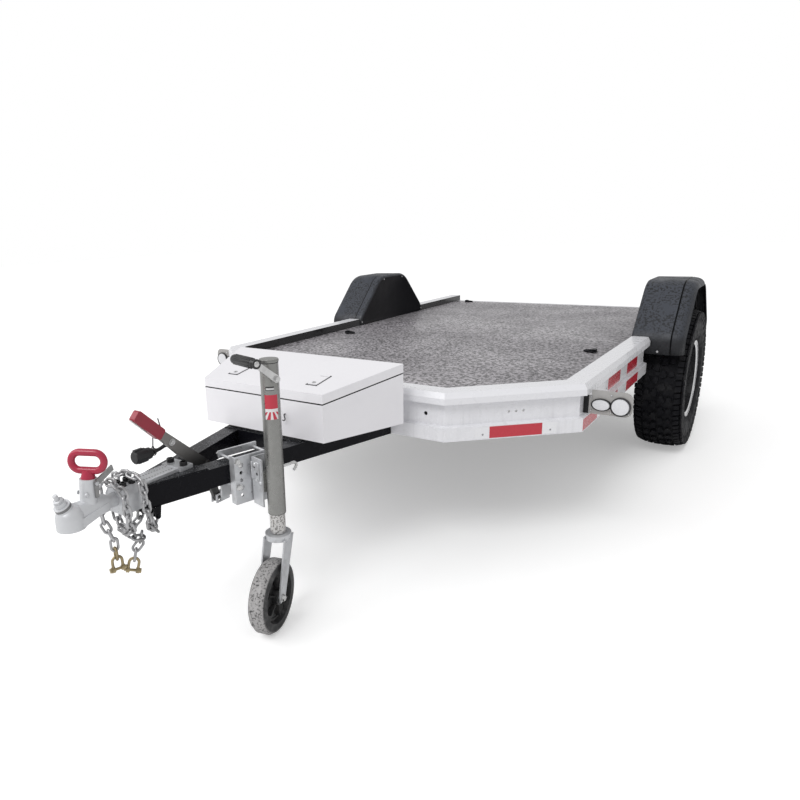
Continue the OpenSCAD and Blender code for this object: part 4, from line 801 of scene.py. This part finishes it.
deck_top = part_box("deck_plate")[1].z
guard_screws = bmesh.new()
lip_line = [(0.052, 0.0022), (0.036, 0.0045), (0.020, 0.011), (0.009, 0.022), (0.003, 0.036)]
lip_line += [(0.0, 0.040), (0.002, 0.045)]
for side, sign in (("left", 1), ("right", -1)):
    low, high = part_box("mudguard_" + side)
    middle = (low.y + high.y) / 2
    bend_z = cap_top + 0.004
    corners = [(low.y, low.z), (low.y, bend_z), (middle - 0.165, high.z)]
    corners += [(middle + 0.165, high.z), (high.y, bend_z), (high.y, low.z)]
    bend = rounded_line([Vector(spot) for spot in corners], (0.090, 0.170, 0.170, 0.090), 8)
    outline = [bend[0], Vector((low.y, deck_top - 0.0006)), Vector((low.y, deck_top + 0.0004))]
    outline += bend[1:-1] + [Vector((high.y, deck_top + 0.0004))]
    outline += [Vector((high.y, deck_top - 0.0006)), bend[-1]]
    inner_x, outer_x = sorted((abs(low.x), abs(high.x)))
    deck_edge = inner_x + 0.0078
    groove = outer_x - 0.066 if sign > 0 else inner_x + 0.047
    stations = [(inner_x, 0.014), (inner_x + 0.0028, 0.0065), (deck_edge, 0.0028)]
    stations += [(inner_x + 0.015, 0.0), (groove, 0.0), (groove + 0.0035, 0.005)]
    stations += [(groove + 0.008, 0.0006)] + [(outer_x - back, inset) for back, inset in lip_line]
    bm = bmesh.new()
    centre = Vector((middle, cap_top - 0.2))
    rows = []
    for x, inset in stations:
        row = []
        for index, point in enumerate(outline):
            back = outline[max(index - 1, 0)]
            ahead = outline[min(index + 1, len(outline) - 1)]
            run = (ahead - back).normalized()
            normal = Vector((run.y, -run.x))
            if normal.dot(centre - point) < 0:
                normal = -normal
            spot = point + normal * inset
            below = index < 2 or index > len(outline) - 3
            across = sign * (max(x, deck_edge) if below else x)
            row.append(bm.verts.new((across, spot.x, spot.y)))
        rows.append(row)
    edges = [bm.edges.new(pair) for pair in zip(rows[0], rows[0][1:])]
    for after in rows[1:]:
        fresh = [bm.edges.new(pair) for pair in zip(after, after[1:])]
        bmesh.ops.bridge_loops(bm, edges=edges + fresh)
        edges = fresh
    panel = bm.faces.new(rows[0][2:-2])
    for rim in (0.012, 0.003):
        bmesh.ops.inset_region(bm, faces=[panel], thickness=rim, depth=0.0, use_even_offset=True)
    bmesh.ops.translate(bm, vec=(sign * 0.003, 0, 0), verts=panel.verts[:])
    panel.material_index = 1
    bmesh.ops.remove_doubles(bm, verts=bm.verts[:], dist=1e-5)
    shell = mesh_piece("guard_shell_" + side, bm, guard_grain, "chassis", 50)
    shell.data.materials.append(panel_black.material)
    wall = shell.modifiers.new("wall", "SOLIDIFY")
    wall.thickness = 0.0038
    wall.offset = -1.0
    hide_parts("mudguard_" + side)
    panel_screws = [(low.y + 0.014, deck_top + 0.020), (high.y - 0.014, deck_top + 0.020)]
    panel_screws += [(middle - 0.126, high.z - 0.026), (middle + 0.126, high.z - 0.026)]
    for run, height in panel_screws:
        add(guard_screws, dome_head(0.0055, 0.003), (sign * inner_x, run, height), (-sign, 0, 0))
    for run, way in ((low.y, -1), (high.y, 1)):
        spot = (sign * 0.977, run, low.z + 0.014)
        add(guard_screws, dome_head(0.006, 0.003), spot, (0, way, 0))
screw_zinc = Finish("screw_zinc", (0.50, 0.50, 0.51), roughness=0.34, metallic=0.5)
screw_zinc.grain(600.0, 0.0002)
mesh_piece("guard_screws", guard_screws, screw_zinc, "chassis")


# Toolbox: folded sheet, white powder coat, with a sloping lid on a full-width hinge. The tub
# steps in under the lid's edge, and that step is painted near-black as painted shade in the seam.
def box_paint(name):
    finish = Finish(name, (0.82, 0.81, 0.84), roughness=0.24, coat=0.4)
    finish.grain(800.0, 0.0002, 0.5, 2.0)
    return finish, finish.stain((0.55, 0.53, 0.58), 0.12, 5.0, 5.0)


lid_rise = 56 / 344
cover(box_paint("box_paint_lid")[0], "toolbox_lid", "toolbox_latches")
tub_paint, painted = box_paint("box_paint_tub")
# Painted shade: the tub's step above the seam line is near-black, for the dark gap under the lid.
flat_height = tub_paint.axis("Z") - (tub_paint.axis("Y") - deck(0, -417, 0).y) * lid_rise
tub_paint.tint(flat_height > 0.7116, (0.012, 0.012, 0.013), painted)
cover(tub_paint, "toolbox_tub")
# Painted shadow: a near-black plate under each latch, set off towards two of its edges so a dark
# rim shows there as the latch's shadow. A small dark cone marks each keyhole.
shadow_keyhole_black = Finish("shadow_keyhole_black", (0.03, 0.03, 0.033), roughness=0.6)
shadow_keyhole_black.grain(400.0, 0.0002, 0.5)
shadows_and_keyholes, locks = bmesh.new(), bmesh.new()
keyhole = [(0, 0), (0, 0.0022), (0.0006, 0)]
barrel = [(0, 0), (0, 0.0075), (0.0015, 0.0075), (0.0022, 0.0062), (0.0022, 0)]
for x in (-192, 192):
    latch = Matrix.Translation(deck(x, -305, 767.75))
    latch = latch @ Matrix.Rotation(math.atan(lid_rise), 4, "X")
    for target, part, spot in (
        (shadows_and_keyholes, block((0.0490, 0.0990, 0.0012), 0.0004), (-0.0012, -0.0012, 0.0006)),
        (shadows_and_keyholes, lathe(keyhole, steps=12), (0, -0.032, 0.0062)),
        (locks, lathe(barrel), (0, -0.032, 0.0040)),
        (locks, block((0.030, 0.003, 0.0012), 0.0005), (0, 0.030, 0.0042)),
    ):
        join(target, part, latch @ Matrix.Translation(spot))
mesh_piece("latch_shadows_keyholes", shadows_and_keyholes, shadow_keyhole_black, "lid")
mesh_piece("latch_locks", locks, screw_zinc, "lid")

# A small hook bent from black-coated wire is fixed to the box's front edge.
hook_way = [(118, -413, 659), (118, -423, 659), (122, -428, 655), (126, -429, 645)]
hook_way += [(122, -429, 638), (114, -429, 639)]
hook_line = round_line("hook", smooth_way([deck(*spot) for spot in hook_way], 3), 0.0022, 3)
holder = bpy.data.objects.new("hook", hook_line)
hook = bmesh.new()
hook.from_mesh(holder.to_mesh())
bpy.data.objects.remove(holder)
bpy.data.curves.remove(hook_line)
mesh_piece("box_hook", hook, tie_nylon, "chassis")


# Zinc-plated and galvanised steel: the brackets on the drawbar, the lamp boards, the brake rod
# and the crank. The coat is pale and crystalline, and duller where dirt lies.
def plated(name, color, roughness, metallic, dirt=(0.14, 0.13, 0.125), worn=0.45):
    finish = Finish(name, color, metallic=metallic)
    tone = finish.patches(40.0, 3.0, 0.3, 0.7, 0.35)
    mottled = finish.blend(tone, color, tuple(c * 0.76 for c in color))
    finish.tint(finish.patches(22.0, 6.0, 0.52, 0.78, worn), dirt, mottled)
    finish.wear(60.0, roughness - 0.1, roughness + 0.14, 4.0)
    finish.grain(260.0, 0.0003)
    return finish


galvanised = plated("galvanised", (0.62, 0.63, 0.65), 0.36, 0.55)
cover(galvanised, "coupling_mount", "jack_clamp", "jack_bracket", "jack_fork", "brake_rod")
lamp_zinc = plated("lamp_zinc", (0.44, 0.43, 0.42), 0.42, 0.4)
lamp_film = lamp_zinc.tint(lamp_zinc.noise(22.0, 6.0) * 0.3, (0.20, 0.195, 0.19))
lamp_across = lamp_zinc.axis("X").maths("ABSOLUTE")
lamp_zinc.tint(lamp_across < 0.936, (0.010, 0.010, 0.011), lamp_film)
cover(lamp_zinc, "lamp_boards")
bright_steel = plated("bright_steel", (0.66, 0.66, 0.66), 0.24, 1.0)
cover(bright_steel, "jack_crank", "jack_pull_pin")


# Lamps: a round white lens in a black bezel and an oval one beside it on each plate, and a red
# lamp at each rear corner. The lenses are moulded acrylic, and small screws hold the plates.
lens_white = Finish("lens_white", (0.72, 0.72, 0.735), roughness=0.12, coat=0.5)
lens_cells = lens_white.ramp(lens_white.cells(190.0), (0.0, 0.0), (0.6, 0.25))
lens_white.tint(lens_cells, (0.45, 0.46, 0.5))
lens_white.bump(lens_white.cells(220.0), 0.0006, 0.5)
bezel_black = Finish("bezel_black", (0.02, 0.02, 0.022), roughness=0.3)
bezel_black.grain(500.0, 0.0002)
lenses, bezels, lamp_screws = bmesh.new(), bmesh.new(), bmesh.new()
glass = [(0, 0), (0, 1), (0.008, 1), (0.0108, 0.93), (0.0118, 0.6), (0.012, 0)]
bezel = [(0, 1.01), (0.010, 1.01), (0.0115, 1.06), (0.009, 1.13), (0, 1.14), (0, 1.01)]
forward = Matrix.Rotation(math.pi / 2, 4, "X")
lens_half = 0.0325
for across, tall in ((1052, lens_half), (982, 0.0215)):
    size = Matrix.Diagonal((lens_half, tall, 1, 1))
    at = Matrix.Translation(deck(across, 450, 600)) @ forward @ size
    join(lenses, lathe(glass, steps=40), at)
    join(bezels, lathe(bezel, steps=40), at)
lens = mesh_piece("front_lenses", mirrored(lenses), lens_white, "chassis")
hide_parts("lamp_lenses")
mesh_piece("lamp_bezels", mirrored(bezels), bezel_black, "chassis")
for across, height in ((945, 628), (945, 574), (1018, 640), (1082, 575), (1018, 572)):
    add(lamp_screws, dome_head(0.0038, 0.0022), deck(across, 446, height), (0, -1, 0))
mesh_piece("lamp_screws", mirrored(lamp_screws), screw_zinc, "chassis")
lens_red = Finish("lens_red", (0.42, 0.01, 0.012), roughness=0.12, coat=0.6)
amber = lens_red.axis("X").maths("ABSOLUTE") > 0.768
lens_red.tint(amber * 0.9, (0.55, 0.16, 0.012))
lens_red.bump((lens_red.axis("Z") * 1800.0).maths("SINE"), 0.0004, 0.6)
low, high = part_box("tail_lamps")
tail_wide = 0.110
tail_bm = block((tail_wide, high.y - low.y - 0.0004, 0.050), 0.004, 2)
shift(tail_bm, (high.x - tail_wide / 2, (low.y + high.y) / 2, (low.z + high.z) / 2))
tail = mesh_piece("tail_lenses", mirrored(tail_bm), lens_red, "chassis")
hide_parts("tail_lamps")


# Coupling: a cast head with a bolted stud, on a block that black socket screws hold to the
# nose. The plate behind it is pale galvanised steel with rows of pressed dimples.
def socket_head(radius, height):
    outline = [(0, 0), (0, radius), (height * 0.88, radius), (height, radius * 0.88)]
    outline += [(height, radius * 0.55), (height * 0.45, radius * 0.5), (height * 0.45, 0)]
    return lathe(outline, steps=20)


cast_zinc = plated("cast_zinc", (0.60, 0.61, 0.63), 0.42, 0.35)
head_zinc = plated("head_zinc", (0.64, 0.65, 0.67), 0.4, 0.35)
stud_lean = math.radians(25)
stud_axis = Vector((0, -math.sin(stud_lean), math.cos(stud_lean)))
stud_foot = deck(0, -1226, 545)
rise = head_zinc.dot(stud_axis) - stud_axis.dot(stud_foot)
collar = (rise > 0.039) * (rise < 0.0475) * (head_zinc.distance(stud_foot, stud_axis) < 0.0248)
head_base = head_zinc.tint(head_zinc.noise(30.0) * 0.15, (0.40, 0.40, 0.41))
head_zinc.tint(collar, (0.20, 0.20, 0.205), head_base)
cover(head_zinc, "coupling_head")
latch_steel = plated("latch_steel", (0.30, 0.30, 0.30), 0.4, 0.7)
cover(latch_steel, "coupling_latch")
handle_red = Finish("handle_red", (0.40, 0.014, 0.05), roughness=0.34, coat=0.25)
handle_red.stain((0.24, 0.03, 0.05), 0.25, 40.0, 5.0)
handle_red.grain(150.0, 0.0004)
cover(handle_red, "coupling_handle")
screw_black = Finish("screw_black", (0.008, 0.008, 0.009), roughness=0.36, metallic=0.4)
screw_black.stain((0.07, 0.065, 0.06), 0.4, 90.0)
screw_black.grain(600.0, 0.0002)
screws, dimples, ridges = bmesh.new(), bmesh.new(), bmesh.new()
dimple = [(0, 0), (0, 0.0032), (0.0008, 0.0022), (0.001, 0)]
plate_top = 577.5
for y in (-1054, -1022):
    add(screws, socket_head(0.0105, 0.012), deck(13.5, y, 582))
add(screws, socket_head(0.0125, 0.013), deck(31, -832, 580.5))
for step in range(12):
    add(dimples, lathe(dimple, steps=8), deck(15, -990 + step * 11, plate_top))
for step in range(18):
    add(ridges, block((0.006, 0.0042, 0.004), 0.001), deck(31.5, -994 + step * 7.4, plate_top))
mesh_piece("mount_screws", mirrored(screws), screw_black, "chassis")
mesh_piece("mount_dimples", mirrored(dimples), latch_steel, "chassis")
mesh_piece("mount_ridges", mirrored(ridges), galvanised, "chassis")
nuts = bmesh.new()
add(nuts, hex_head(0.026, 0.010), stud_foot + stud_axis * 0.062, stud_axis)
for way in (1, -1):
    add(nuts, dome_head(0.0065, 0.004), deck(20.5 * way, -1179.2, 600), (0.82 * way, -0.57, 0))
add(nuts, hex_head(0.011, 0.0035), deck(32.0, -1150, 628), (1, 0, 0))
mesh_piece("coupling_nuts", nuts, cast_zinc, "head")


# Safety chains: short-link chain welded up from round bar and hot dipped, with both bow
# shackles in brass-coloured plate. All of it is dull with road dirt.
chain_dirt, brass_dirt = (0.07, 0.065, 0.06), (0.10, 0.08, 0.05)
chain_zinc = plated("chain_zinc", (0.50, 0.50, 0.51), 0.36, 0.8, dirt=chain_dirt, worn=0.8)
cover(chain_zinc, "safety_chains")
chain_brass = plated("chain_brass", (0.42, 0.34, 0.20), 0.38, 0.8, dirt=brass_dirt, worn=0.7)
cover(chain_brass, "chain_shackles")


# Handbrake: a grey steel lever pressed from flat bar, with a red plastic grip, pivoting between
# two ears on the drawbar. Its spring catch is worked by a blade below the grip.
lever_grey = plated("lever_grey", (0.26, 0.25, 0.24), 0.4, 0.4)
lever_film = lever_grey.tint(lever_grey.noise(30.0) * 0.4, (0.15, 0.14, 0.13))
lever_shade = lever_grey.ramp(lever_grey.axis("Z"), (0.56, 1.0), (0.66, 0.0))
lever_grey.tint(lever_shade, (0.05, 0.05, 0.05), lever_film)
cover(lever_grey, "handbrake_bracket", "handbrake_lever")
grip_red = Finish("grip_red", (0.30, 0.012, 0.032), roughness=0.38, coat=0.2)
grip_red.stain((0.16, 0.02, 0.03), 0.3, 50.0)
grip_red.grain(200.0, 0.0004)
cover(grip_red, "handbrake_grip")
lever_lean = math.radians(43.6)
lever_run = Vector((0, -math.cos(lever_lean), math.sin(lever_lean)))
lever_rise = Vector((0, math.sin(lever_lean), math.cos(lever_lean)))


def lever(along, across, out):
    """A point in mm along the lever from its pivot, across it and out of its near side."""
    return deck(out, -715, 530) + lever_run * (along / 1000) + lever_rise * (across / 1000)


lever_bolts, rod_nuts = bmesh.new(), bmesh.new()
for way in (1, -1):
    add(lever_bolts, hex_head(0.016, 0.007, 0.012), lever(188, 0, 8 * way), (way, 0, 0))
add(lever_bolts, hex_head(0.017, 0.008, 0.012), lever(0, 0, 20), (1, 0, 0))
turn = Matrix.Rotation(-lever_lean, 4, "X")
blade = block((0.012, 0.070, 0.003), 0.001)
join(lever_bolts, blade, Matrix.Translation(lever(328, -20, 0)) @ turn)
mesh_piece("lever_bolts", lever_bolts, bright_steel, "brake_lever")
for y, height in ((-620.3, 0.008), (-608, 0.005)):
    add(rod_nuts, hex_head(0.017, height), deck(0, y, 403.9), (0, 1, 0))
mesh_piece("brake_rod_nuts", rod_nuts, bright_steel, "brake_pull_rod")


# Jockey wheel: a drawn tube in satin grey with a pressed cap, and a plated leg sliding inside,
# spotted by road dirt. A crank with a fluted grip winds it, and a clamp holds it to the drawbar.
splay = math.radians(14.59)
jack_out = Vector((math.cos(splay), -math.sin(splay), 0))
jack_run = Vector((math.sin(splay), math.cos(splay), 0))


def jack(out, run, height):
    """A point in mm out from the drawbar's face, along the drawbar and above the ground."""
    return deck(142.73, -609.87, height) + jack_out * (out / 1000) + jack_run * (run / 1000)


tube_grey = plated("tube_grey", (0.30, 0.30, 0.29), 0.3, 0.8, worn=0.25)
cover(tube_grey, "jack_outer_tube")
leg_steel = plated("leg_steel", (0.60, 0.59, 0.58), 0.28, 0.8)
leg_steel.stain((0.10, 0.095, 0.09), 0.75, 150.0, 4.0, 0.52, 0.60)
cover(leg_steel, "jack_inner_tube")
tube_out = 107.7
tube_at = Matrix.Translation(jack(tube_out, 0, 0))
tube_r = 0.030
skin_r = tube_r + 0.0003
cap = [(0.9035, 0.024), (0.9035, tube_r + 0.0012), (0.909, tube_r + 0.0016), (0.9125, tube_r)]
cap = moved(lathe(cap + [(0.9130, 0)], steps=48), tube_at)
mesh_piece("jack_cap", cap, tube_grey, "jack")


def wrap(low, high, radius, start, stop):
    """A thin curved strip on the jack's tube, between two heights and two angles."""
    bm = bmesh.new()
    back = radius - 0.0006
    section = ((back, low), (radius, low), (radius, high), (back, high))
    face = bm.faces.new([bm.verts.new((x, 0, z)) for x, z in section])
    spun(bm, [face], math.radians(stop - start), 14)
    return moved(bm, tube_at @ Matrix.Rotation(math.radians(start), 4, "Z"))


seams = wrap(0.816, 0.829, skin_r, -78, -26)
seam_ring = [(0.9005, 0.029), (0.9005, skin_r), (0.9033, skin_r), (0.9033, 0.029)]
foot_ring = [(0.3945, 0.0272), (0.3945, 0.0298), (0.3958, tube_r + 0.0002), (0.3970, 0.0298)]
for ring in (seam_ring, foot_ring):
    join(seams, lathe(ring, steps=48), tube_at)
mesh_piece("jack_seams", seams, bezel_black, "jack")
slot_plate = wrap(0.8185, 0.8245, tube_r + 0.0008, -74, -26)
mesh_piece("jack_slot_plate", slot_plate, bright_steel, "jack")

# The label is a red sticker wrapped round the tube, with a white band and white rays below it.
label = Finish("jack_label", (0.50, 0.018, 0.045), roughness=0.3, coat=0.4)
label_from, label_to = -88, -6
label_turn = math.radians((label_from + label_to) / 2)
label_side = Vector((-math.sin(label_turn), math.cos(label_turn), 0))
aside = label.dot(label_side) - label_side.dot(jack(tube_out, 0, 0))
height = label.axis("Z")
fan = (aside * 45.0).maths("DIVIDE", (0.768 - height) * 30.0)
rays = (fan * 9.0).maths("COSINE") > 0.15
band = (height > 0.747) * (height < 0.757)
label.tint(band.maths("MAXIMUM", rays * (height < 0.747)), (0.72, 0.70, 0.71))
label.grain(300.0, 0.0001)
sticker = wrap(0.722, 0.802, skin_r, label_from, label_to)
mesh_piece("jack_label", sticker, label, "jack")

# The crank's grip is moulded with flutes. The rod through it is riveted over at the outer end.
grip_black = Finish("grip_black", (0.02, 0.02, 0.021), roughness=0.32)
grip_black.grain(200.0, 0.0003)
grip_outline = [(0, 0), (0, 0.011), (0.003, 0.0145), (0.012, 0.016), (0.060, 0.0162)]
grip_outline += [(0.112, 0.0150), (0.119, 0.0142), (0.1224, 0.011), (0.1224, 0)]
grip_axis = (-72, 911)
grip_at = seat(jack(18, *grip_axis), jack_out)
grip_bm = moved(lathe(grip_outline, steps=36), grip_at)
for step in range(14):
    flute = Matrix.Rotation(math.tau * step / 14, 4, "Z") @ Matrix.Translation((0.016, 0, 0.060))
    join(grip_bm, block((0.0026, 0.0034, 0.098), 0.0009), grip_at @ flute)
grip = mesh_piece("crank_grip", grip_bm, grip_black, "crank")
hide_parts("jack_grip")
collar = [(0, 0), (0, 0.0158), (0.0035, 0.0152), (0.004, 0.013), (0.004, 0)]
collar = stood(lathe(collar, steps=32), jack(146.4, *grip_axis), jack_out)
mesh_piece("crank_collar", collar, grip_black, "crank")
rod_end = stood(dome_head(0.0095, 0.0035), jack(150.2, *grip_axis), jack_out)
add(rod_end, hex_head(0.016, 0.007, 0.0115), jack(146.7, 0, 853), jack_out)
mesh_piece("crank_rivet", rod_end, bright_steel, "crank")

# The clamp plate is pinched on the tube by carriage bolts, with spare holes between them. The
# bracket that carries the jack is bolted through, and a folded catch plate takes the pull pin.
clamp_bolts, catch, catch_holes = bmesh.new(), bmesh.new(), bmesh.new()
for height in (481, 559):
    add(clamp_bolts, dome_head(0.0095, 0.005), jack(30, -81, height), jack_out)
for height in (485, 574):
    for run in (-93, 33):
        for out, way in ((-81, -jack_out), (30, jack_out)):
            add(clamp_bolts, hex_head(0.017, 0.007, 0.011), jack(out, run, height), way)
mesh_piece("clamp_bolts", clamp_bolts, bright_steel, "chassis")
for out, run, size in ((63, -44.2, (0.034, 0.0032, 0.060)), (46, -47, (0.003, 0.009, 0.060))):
    place = Matrix.Translation(jack(out, run, 540)) @ Matrix.Rotation(-splay, 4, "Z")
    join(catch, block(size, 0.0012), place)
for out, run, height in ((58, -42, 505), (80, -42, 500), (58, -45.6, 560)):
    add(catch, dome_head(0.0075, 0.0045), jack(out, run, height), -jack_run)
for out, height in ((58, 505), (80, 500)):
    add(catch, hex_head(0.013, 0.006, 0.009), jack(out, 42, height), jack_run)
mesh_piece("jack_catch", catch, galvanised, "jack")
hole = [(0, 0), (0, 0.0052), (0.0003, 0.005), (0.0003, 0)]
for out, height in ((56, 552), (70, 530)):
    add(catch_holes, lathe(hole, steps=16), jack(out, -45.8, height), -jack_run)
mesh_piece("catch_holes", catch_holes, bezel_black, "jack")


# The jockey wheel's tyre is solid rubber, scuffed pale by the road, on a black moulded centre.
# Its axle is a bolt through the two legs of the cast fork.
caster_turn = math.radians(28) - splay
caster_out = Vector((math.cos(caster_turn), math.sin(caster_turn), 0))
caster_run = Vector((-math.sin(caster_turn), math.cos(caster_turn), 0))
jack_wheel = jack(tube_out, 0, 123.5) - caster_run * 0.070
jack_rubber = Finish("jack_rubber", (0.014, 0.014, 0.015), roughness=0.55)
from_axle = jack_rubber.distance(jack_wheel, caster_out)
worn_ring = jack_rubber.ramp(from_axle, (0.111, 0.0), (0.1175, 1.0))
crumbs = jack_rubber.ramp(jack_rubber.noise(130.0, 6.0, rough=0.7), (0.40, 0.0), (0.50, 1.0))
film = jack_rubber.patches(30.0, 5.0, 0.5, 0.8, 0.25)
jack_rubber.tint((crumbs * 0.85 + 0.08) * worn_ring + film, (0.40, 0.39, 0.39))
jack_rubber.grain(120.0, 0.0012, 0.8, 5.0)
cover(jack_rubber, "jack_wheel")
spokes, axle_nuts = bmesh.new(), bmesh.new()
boss = [(0, 0), (0, 0.024), (0.002, 0.0235), (0.003, 0.017), (0.003, 0)]
flange = [(0, 0.070), (0, 0.0815), (0.003, 0.0805), (0.003, 0.072), (0, 0.070)]
centre = Matrix.Translation(jack_wheel) @ Matrix.Rotation(caster_turn, 4, "Z")
for face in (1, -1):
    out = caster_out * face
    add(spokes, lathe(boss), jack_wheel + out * 0.0305, out)
    add(spokes, lathe(flange, steps=36), jack_wheel + out * 0.012, out)
    add(axle_nuts, hex_head(0.019, 0.0075, 0.013), jack_wheel + out * 0.0402, out)
    for step in range(6):
        spin = Matrix.Rotation(math.tau * (step + 0.5) / 6, 4, "X")
        place = Matrix.Translation((0.019 * face, 0.049, 0))
        join(spokes, block((0.016, 0.044, 0.003), 0.001), centre @ spin @ place)
wheel_black = Finish("wheel_black", (0.02, 0.02, 0.021), roughness=0.5)
wheel_black.stain((0.16, 0.155, 0.15), 0.35, 40.0, 5.0, 0.46, 0.8)
wheel_black.grain(300.0, 0.0003, 0.5)
mesh_piece("jockey_spokes", spokes, wheel_black, "jockey_wheel")
mesh_piece("fork_nuts", axle_nuts, bright_steel, "caster_fork")
